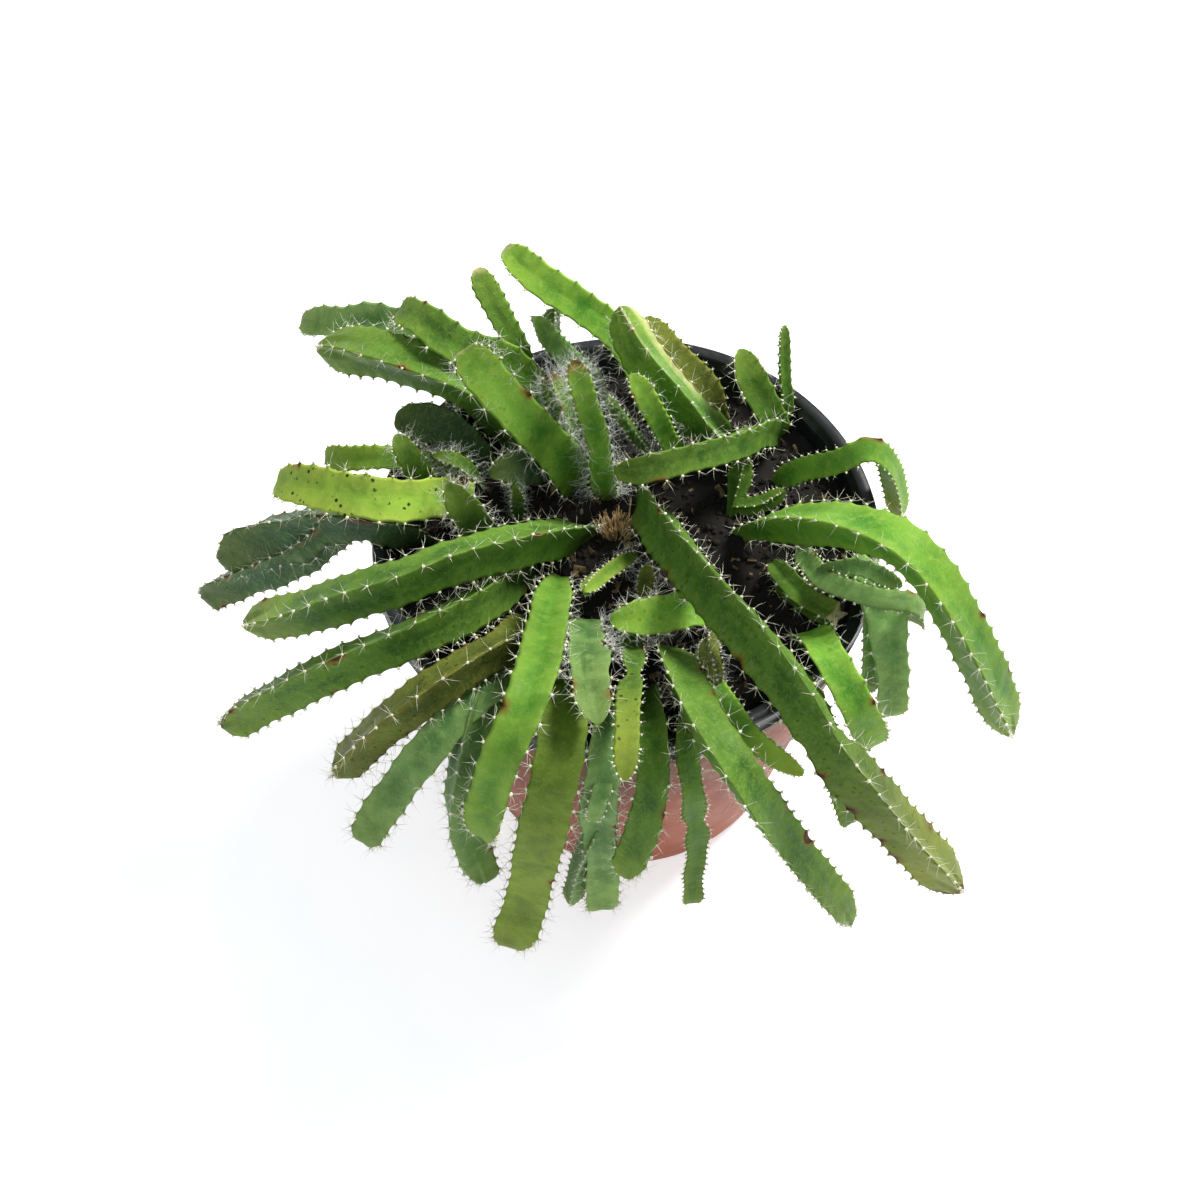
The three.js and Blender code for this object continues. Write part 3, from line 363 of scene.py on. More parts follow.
# Stems: every shoot stands at the first point of its path, in mm, and later shoots branch from it
stems = {
    "stem_back_1": {"tone": "grey", "shoots": [
        {"width": 10.2, "ribs": 3, "turn": 60,
         "path": [(-38, 50, 119), (-41, 55, 134), (-53, 66, 142), (-70, 75, 141), (-89, 82, 134),
                  (-106, 94, 124)]},
    ]},
    "stem_back_2": {"tone": "green", "shoots": [
        {"width": 16.4, "ribs": 3, "turn": -14,
         "path": [(-34, 40, 119), (-37, 40, 135), (-45, 39, 149), (-66, 47, 153), (-83, 57, 149),
                  (-95, 65, 142)]},
    ]},
    "stem_back_3": {"tone": "green", "shoots": [
        {"width": 12, "ribs": 3, "turn": 50,
         "path": [(-24, 50, 119), (-27, 50, 135), (-36, 47, 153), (-48, 47, 160), (-57, 55, 161),
                  (-67, 68, 154)]},
    ]},
    "stem_back_4": {"tone": "bright", "shoots": [
        {"width": 13.6, "ribs": 3, "turn": 60,
         "path": [(-15, 22, 119), (-16, 18, 132), (-24, 14, 155), (-34, 18, 168), (-45, 35, 170)]},
    ]},
    "stem_back_5": {"tone": "bright", "shoots": [
        {"width": 8, "ribs": 3, "turn": 60,
         "path": [(-5, 18, 119), (-6, 10, 140), (-7, 10, 158), (-10, 14, 170), (-13, 22, 178)]},
    ]},
    "stem_back_6": {"tone": "green", "shoots": [
        {"width": 8.2, "ribs": 3, "turn": 0,
         "path": [(-13, 33, 119), (-15, 30, 134), (-18, 32, 148), (-21, 37, 156)]},
    ]},
    "stem_back_7": {"tone": "green", "shoots": [
        {"width": 9, "ribs": 3, "turn": 60,
         "path": [(-28, 60, 119), (-30, 61, 133), (-32, 63, 143), (-37, 69, 150), (-43, 82, 157)]},
    ]},
    "stem_back_8": {"tone": "bright", "shoots": [
        {"width": 11, "ribs": 3, "turn": 60,
         "path": [(8, 60, 119), (4, 60, 136), (-3, 60, 152), (-12, 60, 162), (-23, 63, 170),
                  (-33, 72, 174)]},
    ]},
    "stem_back_9": {"tone": "dark", "shoots": [
        {"width": 6.4, "ribs": 3, "turn": 0,
         "path": [(-16, 62, 119), (-19, 66, 132), (-20, 68, 142), (-19, 68, 152)]},
    ]},
    "stem_back_10": {"tone": "grey", "shoots": [
        {"width": 8.4, "ribs": 3, "turn": 60,
         "path": [(-4, 60, 119), (-12, 60, 132), (-20, 60, 144), (-25, 60, 157)]},
    ]},
    "stem_back_11": {"tone": "green", "shoots": [
        {"width": 14.4, "ribs": 3, "turn": 0,
         "path": [(37, 36, 119), (26, 33, 134), (16, 36, 148), (7, 43, 158), (1, 56, 164)]},
    ]},
    "stem_back_12": {"tone": "olive", "shoots": [
        {"width": 9, "ribs": 3, "turn": 60,
         "path": [(34, 48, 119), (28, 52, 131), (18, 59, 140), (9, 70, 144)]},
    ]},
    "stem_back_13": {"tone": "bright", "shoots": [
        {"width": 7.6, "ribs": 3, "turn": 60,
         "path": [(19, 31, 119), (13, 23, 142), (8, 22, 158), (3, 25, 168)]},
    ]},
    "stem_back_14": {"tone": "green", "shoots": [
        {"width": 4, "ribs": 3, "turn": 0,
         "path": [(11, 32, 119), (6, 26, 136), (1, 23, 150), (-4, 23, 160)]},
    ]},
    "stem_back_15": {"tone": "green", "shoots": [
        {"width": 9.8, "ribs": 3, "turn": 25,
         "path": [(50, 38, 119), (44, 30, 134), (36, 20, 142), (22, 8, 152), (7, 1, 156),
                  (-3, 3, 153)]},
        {"width": 10.6, "ribs": 3, "turn": 60,
         "path": [(50, 39, 121), (46, 38, 134), (40, 41, 146), (37, 46, 154)]},
        {"width": 5, "ribs": 4, "turn": 45,
         "path": [(51, 41, 123), (53, 43, 132), (52, 47, 140), (52, 57, 152)]},
    ]},
    "stem_right_1": {"tone": "bright", "shoots": [
        {"width": 8.4, "ribs": 3, "turn": 60,
         "path": [(48, 21, 119), (54, 15, 133), (64, 8, 146), (71, 8, 150), (77, 9, 144),
                  (83, 11, 128), (87, 11, 112)]},
    ]},
    "stem_right_2": {"tone": "bright", "shoots": [
        {"width": 14, "ribs": 3, "turn": 22, "neck": 34,
         "path": [(35, 2, 119), (47, -11, 142), (60, -26, 160), (72, -37, 164), (82, -45, 156),
                  (93, -52, 138), (104, -55, 114), (114, -56, 90)]},
    ]},
    "stem_right_3": {"tone": "olive", "shoots": [
        {"width": 14, "ribs": 3, "turn": -14, "valley": 0.35, "waist": 0.86,
         "path": [(5, 14, 119), (8, 2, 133), (11, -11, 141), (19, -36, 154), (32, -61, 160),
                  (41, -76, 158), (49, -86, 148), (61, -92, 130), (71, -94, 112), (84, -96, 90),
                  (96, -97, 70)]},
    ]},
    "stem_right_4": {"tone": "bright", "shoots": [
        {"width": 10.4, "ribs": 3, "turn": 60,
         "path": [(50, -38, 119), (51, -48, 137), (52, -59, 146), (58, -69, 140), (63, -69, 126),
                  (68, -68, 112)]},
    ]},
    "stem_right_5": {"tone": "olive", "shoots": [
        {"width": 7.8, "ribs": 3, "turn": 60,
         "path": [(38, -48, 119), (42, -57, 135), (47, -66, 138), (52, -71, 124), (57, -73, 104),
                  (64, -77, 78)]},
    ]},
    "stem_right_6": {"tone": "grey", "shoots": [
        {"width": 7.4, "ribs": 3, "turn": 60,
         "path": [(53, -4, 119), (54, -20, 131), (57, -33, 141), (67, -41, 146), (77, -42, 144),
                  (82, -40, 131)]},
        {"width": 6, "ribs": 3, "turn": 60,
         "path": [(55, -24, 134), (59, -28, 142), (65, -31, 147), (75, -37, 146)]},
    ]},
    "stem_right_7": {"tone": "green", "shoots": [
        {"width": 9.6, "ribs": 4, "turn": 45, "valley": 0.38,
         "path": [(44, -10, 119), (46, -20, 126), (51, -31, 131), (58, -39, 135)]},
    ]},
    "stem_right_8": {"tone": "grey", "shoots": [
        {"width": 10.8, "ribs": 3, "turn": 60,
         "path": [(62, -18, 119), (65, -27, 138), (71, -38, 137), (74, -47, 121), (77, -51, 97)]},
        {"width": 6.4, "ribs": 3, "turn": 60,
         "path": [(68, -37, 135), (69, -44, 120), (70, -46, 103)]},
    ]},
    "stem_right_9": {"tone": "green", "shoots": [
        {"width": 8, "ribs": 4, "turn": 0,
         "path": [(33, 9, 119), (36, 17, 126), (38, 23, 133)]},
        {"width": 6, "ribs": 4, "turn": 0,
         "path": [(34, 11, 121), (42, 8, 126), (49, 9, 131)]},
    ]},
    "stem_front_1": {"tone": "bright", "shoots": [
        {"width": 11.6, "ribs": 3, "turn": 60,
         "path": [(29, -26, 119), (24, -30, 128), (17, -34, 134), (5, -39, 139), (-6, -41, 141)]},
    ]},
    "stem_front_2": {"tone": "yellow", "shoots": [
        {"width": 6.4, "ribs": 4, "turn": 45,
         "path": [(3, -5, 119), (-1, -12, 127), (-7, -21, 134), (-13, -30, 139)]},
    ]},
    "stem_front_3": {"tone": "olive", "shoots": [
        {"width": 7.4, "ribs": 3, "turn": 60,
         "path": [(4, -22, 119), (5, -19, 125), (6, -15, 130)]},
    ]},
    "stem_front_4": {"tone": "yellow", "shoots": [
        {"width": 7.2, "ribs": 3, "turn": 60, "waist": 0.6,
         "path": [(0, -32, 119), (0, -48, 134), (0, -60, 145), (-2, -73, 152), (-3, -86, 154),
                  (-4, -95, 151)]},
    ]},
    "stem_front_5": {"tone": "olive", "shoots": [
        {"width": 12.2, "ribs": 3, "turn": 0,
         "path": [(-29, -26, 119), (-33, -43, 136), (-44, -59, 150), (-57, -68, 149), (-71, -70, 134),
                  (-86, -70, 110)]},
    ]},
    "stem_front_6": {"tone": "grey", "shoots": [
        {"width": 11.2, "ribs": 3, "turn": 60,
         "path": [(-34, -44, 119), (-38, -55, 133), (-44, -64, 139), (-55, -75, 135), (-67, -80, 119),
                  (-79, -85, 97)]},
        {"width": 12.6, "ribs": 3, "turn": 20,
         "path": [(-41, -60, 135), (-44, -70, 136), (-47, -79, 128), (-50, -83, 112), (-50, -84, 96),
                  (-47, -87, 68)]},
    ]},
    "stem_front_7": {"tone": "bright", "shoots": [
        {"width": 12, "ribs": 3, "turn": 60, "neck": 34, "valley": 0.36,
         "path": [(-20, -12, 119), (-22, -33, 139), (-24, -59, 156), (-27, -77, 163), (-33, -88, 157),
                  (-38, -92, 140), (-43, -94, 118)]},
    ]},
    "stem_front_8": {"tone": "green", "shoots": [
        {"width": 14.2, "ribs": 3, "turn": 60,
         "path": [(-15, -48, 119), (-17, -60, 133), (-19, -72, 141), (-21, -84, 141), (-25, -91, 124),
                  (-29, -93, 100), (-33, -95, 76), (-41, -100, 48)]},
    ]},
    "stem_front_9": {"tone": "grey", "shoots": [
        {"width": 10.6, "ribs": 3, "turn": 60,
         "path": [(-6, -58, 119), (-7, -70, 136), (-9, -83, 138), (-11, -88, 126), (-11, -88, 110),
                  (-11, -89, 86), (-12, -93, 58)]},
        {"width": 5.6, "ribs": 3, "turn": 60,
         "path": [(-7, -79, 137), (-10, -89, 133), (-13, -92, 121)]},
        {"width": 7.6, "ribs": 3, "turn": 0,
         "path": [(-11, -88, 110), (-16, -89, 90), (-19, -91, 76), (-21, -93, 62)]},
    ]},
    "stem_front_10": {"tone": "green", "shoots": [
        {"width": 11.2, "ribs": 3, "turn": -25,
         "path": [(5, -52, 119), (4, -64, 130), (5, -77, 140), (5, -87, 138), (3, -93, 124),
                  (-1, -96, 106), (-4, -98, 94)]},
    ]},
    "stem_front_11": {"tone": "green", "shoots": [
        {"width": 7, "ribs": 3, "turn": 60, "waist": 0.74,
         "path": [(17, -54, 119), (15, -68, 134), (13, -79, 139), (14, -86, 128), (15, -86, 112),
                  (17, -86, 92), (16, -88, 72), (16, -90, 52)]},
    ]},
    "stem_front_12": {"tone": "green", "shoots": [
        {"width": 12, "ribs": 3, "turn": 22, "neck": 30,
         "path": [(9, -38, 119), (11, -53, 137), (16, -78, 151), (25, -94, 148), (37, -98, 120),
                  (51, -101, 90), (63, -103, 62)]},
    ]},
    "stem_front_13": {"tone": "bright", "shoots": [
        {"width": 6.8, "ribs": 3, "turn": 60,
         "path": [(20, -38, 119), (21, -49, 127), (25, -68, 137), (32, -84, 143), (43, -88, 136)]},
    ]},
    "stem_front_14": {"tone": "olive", "shoots": [
        {"width": 6, "ribs": 4, "turn": 45,
         "path": [(27, -36, 119), (23, -42, 130), (21, -53, 140), (22, -64, 143)]},
    ]},
    "stem_front_15": {"tone": "grey", "shoots": [
        {"width": 10.4, "ribs": 3, "turn": 60,
         "path": [(-12, -28, 119), (-13, -49, 140), (-13, -66, 153), (-10, -81, 155)]},
    ]},
    "stem_left_1": {"tone": "dark", "shoots": [
        {"width": 14.4, "ribs": 3, "turn": 10,
         "path": [(-60, 3, 119), (-66, -1, 134), (-75, -2, 139), (-89, 4, 132), (-100, 9, 123),
                  (-117, 16, 110), (-133, 18, 94)]},
        {"width": 13, "ribs": 3, "turn": 15,
         "path": [(-82, 1, 138), (-95, 6, 118), (-106, 9, 106), (-128, 15, 86), (-146, 22, 68)]},
    ]},
    "stem_left_2": {"tone": "yellow", "shoots": [
        {"width": 13.2, "ribs": 3, "turn": 60,
         "path": [(-48, 13, 119), (-50, 8, 134), (-56, 0, 146), (-65, -5, 152), (-73, -6, 155),
                  (-89, 2, 150), (-103, 12, 141)]},
    ]},
    "stem_left_3": {"tone": "green", "shoots": [
        {"width": 8.6, "ribs": 3, "turn": 60,
         "path": [(-53, 29, 119), (-60, 26, 130), (-68, 21, 139), (-80, 23, 137), (-92, 30, 130)]},
    ]},
    "stem_left_4": {"tone": "green", "shoots": [
        {"width": 9.4, "ribs": 3, "turn": 60,
         "path": [(-57, 17, 119), (-60, 14, 135), (-62, 13, 148), (-66, 18, 154)]},
    ]},
    "stem_left_5": {"tone": "dark", "shoots": [
        {"width": 13, "ribs": 3, "turn": 60,
         "path": [(-41, 30, 119), (-46, 30, 129), (-55, 34, 137), (-70, 39, 136)]},
    ]},
    "stem_left_6": {"tone": "dark", "shoots": [
        {"width": 11.6, "ribs": 3, "turn": 60,
         "path": [(-22, 28, 119), (-28, 25, 126), (-36, 22, 131), (-41, 19, 132)]},
    ]},
    "stem_left_7": {"tone": "green", "shoots": [
        {"width": 11, "ribs": 3, "turn": 60,
         "path": [(-41, 0, 119), (-42, -4, 133), (-45, -8, 151), (-50, -4, 158)]},
    ]},
    "stem_left_8": {"tone": "green", "shoots": [
        {"width": 5.4, "ribs": 4, "turn": 45,
         "path": [(-32, 9, 119), (-32, 8, 131), (-32, 7, 142)]},
    ]},
    "stem_left_9": {"tone": "green", "shoots": [
        {"width": 14, "ribs": 3, "turn": 0,
         "path": [(-12, 4, 119), (-19, -8, 136), (-30, -20, 150), (-48, -32, 160), (-62, -38, 160),
                  (-76, -38, 154), (-92, -35, 142), (-113, -27, 124)]},
    ]},
    "stem_left_10": {"tone": "green", "shoots": [
        {"width": 12.8, "ribs": 3, "turn": 18,
         "path": [(-28, -4, 119), (-36, -25, 136), (-47, -41, 148), (-62, -50, 150), (-83, -53, 141),
                  (-103, -52, 124), (-122, -49, 104)]},
    ]},
    "stem_left_11": {"tone": "green", "shoots": [
        {"width": 7, "ribs": 4, "turn": 0,
         "path": [(-44, 23, 119), (-48, 21, 131), (-52, 20, 138), (-57, 19, 142)]},
    ]},
}

# What time did to some of them, and the painted light and shade each one carries: shares of the length,
# strengths
# 0 to 1. A lobe is a wider stretch of one rib: its shoot, rib, from, to and amount. A burn is brown: its
# shoot, rib, place, reach, strength. Pales dry a rib's margin: rib, from and amount. Yellow has from and
# strength. Light is the stem's brightness, partly its own tone and partly painted light and shade. endLight
# is added to light towards the tip, painted light above zero and painted shade below; skin names another
# tone than the stem's, and blunt is the tip's length in widths.
stemLooks = {
    "stem_back_1": {"light": 0.58, "wander": 0.09,
                    "lobes": [(0, 1, 0.4, 0.75, 0.3), (0, 0, 0.6, 1.0, 0.25)]},
    "stem_back_2": {"light": 0.55, "spots": 0.2, "burns": [(0, 1, 0.93, 3, 0.6)]},
    "stem_back_3": {"light": 0.78, "spots": 0.4, "scars": 0.3, "wander": 0.06},
    "stem_back_4": {"light": 0.37, "spots": 0.3, "tip": "dry", "tipLength": 3},
    "stem_back_5": {"light": 0.56, "tip": "bruise", "tipLength": 9, "wander": 0.07},
    "stem_back_6": {"light": 0.42, "scars": 0.6, "tip": "bruise"},
    "stem_back_7": {"light": 0.57, "tip": "dry", "tipLength": 4, "wander": 0.08},
    "stem_back_8": {"light": 0.86, "tip": "dry", "tipLength": 3},
    "stem_back_9": {"light": 0.48, "scars": 0.5},
    "stem_back_10": {"light": 1.0, "wander": 0.08},
    "stem_back_11": {"light": 0.76, "pales": [(1, 0.35, 0.65), (0, 0.75, 0.3)], "scars": 0.2},
    "stem_back_12": {"light": 0.6},
    "stem_back_13": {"light": 0.64},
    "stem_back_15": {"light": 0.52},
    "stem_left_1": {"light": 0.46, "scars": 0.5, "spots": 0.4, "wander": 0.07,
                    "lobes": [(0, 2, 0.5, 1.0, 0.45), (1, 1, 0.4, 0.95, 0.35)]},
    "stem_left_2": {"light": 0.76, "spots": 1.0, "scars": 0.4, "yellow": (0.0, 0.35),
                    "burns": [(0, 0, 0.87, 4, 0.8)]},
    "stem_left_3": {"light": 0.52, "skin": "bright", "scars": 0.6, "yellow": (0.0, 0.5), "wander": 0.07},
    "stem_left_5": {"light": 0.28},
    "stem_left_6": {"light": 0.33},
    "stem_left_9": {"light": 0.56, "scars": 0.2, "yellow": (0.75, 0.45)},
    "stem_left_10": {"light": 0.52, "scars": 0.3, "spots": 0.5, "tip": "bruise",
                     "burns": [(0, 0, 0.6, 5, 1.0)]},
    "stem_front_1": {"light": 0.7, "spots": 0.3},
    "stem_front_4": {"light": 0.52, "skin": "green", "spots": 0.8, "yellow": (0.5, 0.7)},
    "stem_front_5": {"light": 0.48, "scars": 0.6, "spots": 0.8, "tip": "dry", "tipLength": 4},
    "stem_front_6": {"light": 0.50, "wander": 0.06},
    "stem_front_7": {"light": 0.43, "blunt": 1.3, "valley": 0.27},
    "stem_front_8": {"light": 0.5, "spots": 0.2, "tip": "dry", "tipLength": 4, "scars": 0.2, "valley": 0.46,
                     "yellow": (-0.6, 0.45), "burns": [(0, 0, 0.98, 3, 0.8)]},
    "stem_front_9": {"light": 0.62, "wander": 0.07},
    "stem_front_12": {"light": 0.54, "endLight": 0.1, "scars": 0.2, "blunt": 1.9,
                      "burns": [(0, 2, 0.69, 4, 0.9)]},
    "stem_front_11": {"light": 0.42, "wander": 0.1,
                      "lobes": [(0, 0, 0.4, 0.75, 0.25), (0, 1, 0.5, 0.8, 0.3)]},
    "stem_front_13": {"light": 0.8, "yellow": (0.6, 0.5), "blunt": 2.2},
    "stem_front_15": {"light": 0.50, "wander": 0.13, "scars": 0.7,
                      "lobes": [(0, 1, 0.45, 0.95, 0.45), (0, 2, 0.6, 1.0, 0.3)]},
    "stem_right_2": {"light": 0.58, "endLight": -0.3, "yellow": (0.8, 0.5), "scars": 0.1, "blunt": 1.3},
    "stem_right_3": {"light": 0.48, "endLight": -0.28, "skin": "green", "yellow": (0.5, 1.0),
                     "scars": 0.2, "spots": 0.5,
                     "tip": "bruise", "tipLength": 13, "blunt": 1.2, "lobes": [(0, 2, 0.62, 0.97, 0.3)],
                     "burns": [(0, 1, 0.62, 3, 1.0), (0, 1, 0.7, 4, 1.1), (0, 1, 0.84, 6, 0.9),
                               (0, 2, 0.85, 5, 0.8), (0, 0, 0.98, 6, 0.7), (0, 1, 0.98, 6, 0.9)]},
    "stem_right_4": {"light": 0.74, "spots": 0.2, "pales": [(1, 0.8, 0.5)], "blunt": 1.3,
                     "burns": [(0, 2, 0.93, 3, 0.5)]},
    "stem_right_5": {"light": 0.6, "skin": "green", "scars": 0.2},
    "stem_right_6": {"light": 0.50, "scars": 0.3, "burns": [(0, 1, 0.3, 6, 0.8)]},
    "stem_right_7": {"light": 0.46, "cut": True},
    "stem_right_8": {"light": 0.8, "wander": 0.09,
                     "lobes": [(0, 0, 0.35, 0.75, 0.3), (0, 1, 0.7, 1.0, 0.3)]},
}
# Soft white hair: from and to shares of the length, hairs on each areole, length in mm
stemHair = {
    "stem_back_5": (0.25, 1.0, 12, 8), "stem_back_6": (0.3, 1.0, 14, 8), "stem_back_9": (0.3, 1.0, 5, 5),
    "stem_back_4": (0.45, 0.95, 5, 7), "stem_back_13": (0.2, 0.9, 3, 5), "stem_back_14": (0.1, 1.0, 4, 4),
    "stem_front_15": (0.1, 0.85, 16, 8), "stem_front_2": (0.1, 0.6, 4, 5), "stem_front_1": (0.3, 1.0, 6, 6),
    "stem_left_7": (0.2, 1.0, 6, 6), "stem_left_8": (0.0, 1.0, 5, 4), "stem_left_11": (0.1, 1.0, 7, 6),
    "stem_left_4": (0.3, 1.0, 6, 6), "stem_left_6": (0.2, 1.0, 4, 5), "stem_front_6": (0.2, 0.6, 2, 5),
    "stem_front_9": (0.2, 0.6, 3, 5), "stem_front_3": (0.0, 1.0, 5, 5), "stem_front_14": (0.2, 1.0, 3, 4),
}
# Measures in mm or in shares; "big" and "small" are stems over and under the big width
stemShape = {
    "rootDepth": 6, "soilTop": 119, "pathSteps": 60, "frameStep": 0.6, "facing": (0, -0.54, 0.84),
    "neckLength": 13, "neckShare": 0.42, "waistAt": 0.58, "waistReach": 7,
    "reach": {3: 0.57, 4: 0.52}, "valley": {3: 0.39, 4: 0.52},
    "hollow": 0.035, "ridgeCut": 0.015, "marginShare": 0.42, "crook": 5.0,
    "flatBlunt": 1.05, "crestBlunt": 0.7, "crestTurn": 40, "crestFade": 0.6, "crestFadeWidths": 1.5,
    "tipRings": 15, "tipRound": 0.94, "cutDepth": 0.5,
    "firstJitter": 0.4, "toothRound": 0.8, "toothPeak": 0.03, "lobeRound": 0.6,
    "swayLong": 9, "swayShort": 3.3, "swayShare": 0.7,
    "bigWidth": 9.5, "slimPitchFrom": 0.8, "slimPitchWidth": 35,
    "big": {"pitch": 6.0, "dip": 0.085, "ring": 0.85, "wander": 0.035,
            "shares": [0, 0.06, 0.15, 0.3, 0.5, 0.75, 1]},
    "small": {"pitch": 3.1, "dip": 0.13, "ring": 0.55, "wander": 0.055, "shares": [0, 0.1, 0.3, 0.6, 1]},
}
# light sets each stem's brightness, partly painted light and shade; rootShade is painted shade near the soil
skinMarks = {
    "light": 0.47, "lightDrift": 0.05, "driftLength": 13, "endFrom": (0.3, 0.85),
    "rootShade": 0.14, "rootShadeLength": 26, "yellow": (0.6, 0.22), "spots": 0.06,
    "toothScar": 0.5, "scars": 0.08, "scarEvery": 22, "scarReach": (1.2, 4.5), "scarMost": 1.3,
    "tipLength": 6, "tipBruise": 0.92, "tipDry": 0.85, "paleReach": 0.2, "dryMost": 0.9,
}
areoleShape = {"tipGap": 0.06, "tipPitch": 0.45, "tipLean": 0.85, "aboveSoil": 3.5}
spineShape = {
    "big": {"count": (3, 6), "length": (2.4, 5.2), "radius": 0.07, "wool": 0.47},
    "small": {"count": (1, 3), "length": (0.8, 2.0), "radius": 0.05, "wool": 0.33},
    "spinJitter": 0.25, "innerTilt": (0.1, 0.6), "outerTilt": (0.85, 1.42),
    "woolOut": 0.05, "woolSizes": (0.8, 1.15), "woolRough": 0.18,
}
needleShape = {"bend": 0.06, "sunk": 0.3, "taper": 0.72}
hairShape = {
    "radius": 0.035, "bends": 4, "taper": 0.15, "curl": 0.55,
    "out": 0.7, "stray": 0.6, "lengths": (0.5, 1.25),
}
thirdTurn = 2 * math.pi / 3
plantSeed = 31


def pathLine(path, branch):
    points = [np.array(p, float) for p in path]
    if not branch:
        below = stemShape["soilTop"] - stemShape["rootDepth"]
        points.insert(0, np.array([points[0][0], points[0][1], below]))
    ends = [2 * points[0] - points[1], *points, 2 * points[-1] - points[-2]]
    line = []
    for i in range(1, len(ends) - 2):
        p0, p1, p2, p3 = ends[i - 1:i + 3]
        d0, d1, d2 = (math.sqrt(np.linalg.norm(b - a)) for a, b in ((p0, p1), (p1, p2), (p2, p3)))
        out = ((p1 - p0) / d0 - (p2 - p0) / (d0 + d1) + (p2 - p1) / d1) * d1
        into = ((p2 - p1) / d1 - (p3 - p1) / (d1 + d2) + (p3 - p2) / d2) * d1
        u = np.linspace(0, 1, stemShape["pathSteps"], endpoint=False)[:, None]
        square = 3 * (p2 - p1) - 2 * out - into
        cube = 2 * (p1 - p2) + out + into
        line.append(p1 + out * u + square * u ** 2 + cube * u ** 3)
    line.append(points[-1][None, :])
    return np.vstack(line)


def smooth(value, low, high):
    share = np.clip((value - low) / (high - low), 0, 1)
    return share * share * (3 - 2 * share)


def unit(vectors):
    return vectors / np.maximum(np.linalg.norm(vectors, axis=-1, keepdims=True), 1e-9)


def section(ribs, shares, valley):
    # Angles round one ring, how far out each point lies, its margin, its rib and its share of the face
    shape = stemShape
    steps = shares + [2 - s for s in shares[-2:0:-1]]
    half = math.pi / ribs
    angles, reaches, margins, owners, across = [], [], [], [], []
    for rib in range(ribs):
        for step in steps:
            share = min(step, 2 - step)
            turn = share * half
            reach = valley * math.sin(half) / (valley * math.sin(half - turn) + math.sin(turn))
            reach = reach * (1 - shape["hollow"] * math.sin(math.pi * share))
            angles.append(rib * 2 * half + step * half)
            reaches.append(reach - (shape["ridgeCut"] if share == 0 else 0))
            margins.append(max(0.0, 1 - share / shape["marginShare"]))
            owners.append(rib if step <= 1 else (rib + 1) % ribs)
            across.append(share)
    return [np.array(values) for values in (angles, reaches, margins, owners, across)]


def isCrested(shoot):
    # One of three ribs points at the viewer, and the stem's end slopes down to it
    return shoot["ribs"] == 3 and abs(shoot["turn"]) < stemShape["crestTurn"]


def placeRings(shoot, look, length, spacing):
    # Where rings stand along a shoot, in mm: evenly at first, then ever closer round the tip
    shape = stemShape
    cut = look.get("cut", False)
    blunt = look.get("blunt", shape["crestBlunt" if isCrested(shoot) else "flatBlunt"])
    tipFrom = length if cut else length - shoot["width"] * blunt
    at = np.linspace(0, tipFrom, max(6, round(tipFrom / spacing)))
    if not cut:
        bend = np.sin(np.linspace(0, math.pi / 2, shape["tipRings"])[1:-1])
        at = np.concatenate([at, tipFrom + (length - tipFrom) * bend])
    return at, tipFrom


def pathFrames(line, walked, at):
    # Centre of every ring and its axes: along the stem, across it and up from it
    step = stemShape["frameStep"]
    centres, before, after = (
        np.stack([np.interp(s, walked, line[:, k]) for k in range(3)], axis=1)
        for s in (at, np.maximum(at - step, 0), np.minimum(at + step, walked[-1])))
    along = unit(after - before)
    side = np.array([1.0, 0, 0])
    across = np.zeros_like(along)
    for i, direction in enumerate(along):
        side = unit(side - direction * side.dot(direction))
        across[i] = side
    return centres, along, across, np.cross(along, across)


def widthAlong(shoot, branch, cut, at, tipFrom, length):
    # Share of the full width at every ring: a thin neck, perhaps a waist, and a round end
    shape = stemShape
    free = at + shape["neckLength"] / 2 if branch else at - shape["rootDepth"]
    neck = shoot.get("neck", shape["neckLength"])
    size = shape["neckShare"] + (1 - shape["neckShare"]) * smooth(free, 0, neck)
    if "waist" in shoot:
        away = smooth(np.abs(at - length * shape["waistAt"]), 0, shape["waistReach"])
        size = size * (shoot["waist"] + (1 - shoot["waist"]) * away)
    closing = np.clip((at - tipFrom) / max(length - tipFrom, 1e-6), 0, 1)
    if not cut:
        size = size * np.sqrt(1 - closing ** 2) ** shape["tipRound"]
    return size, free, closing


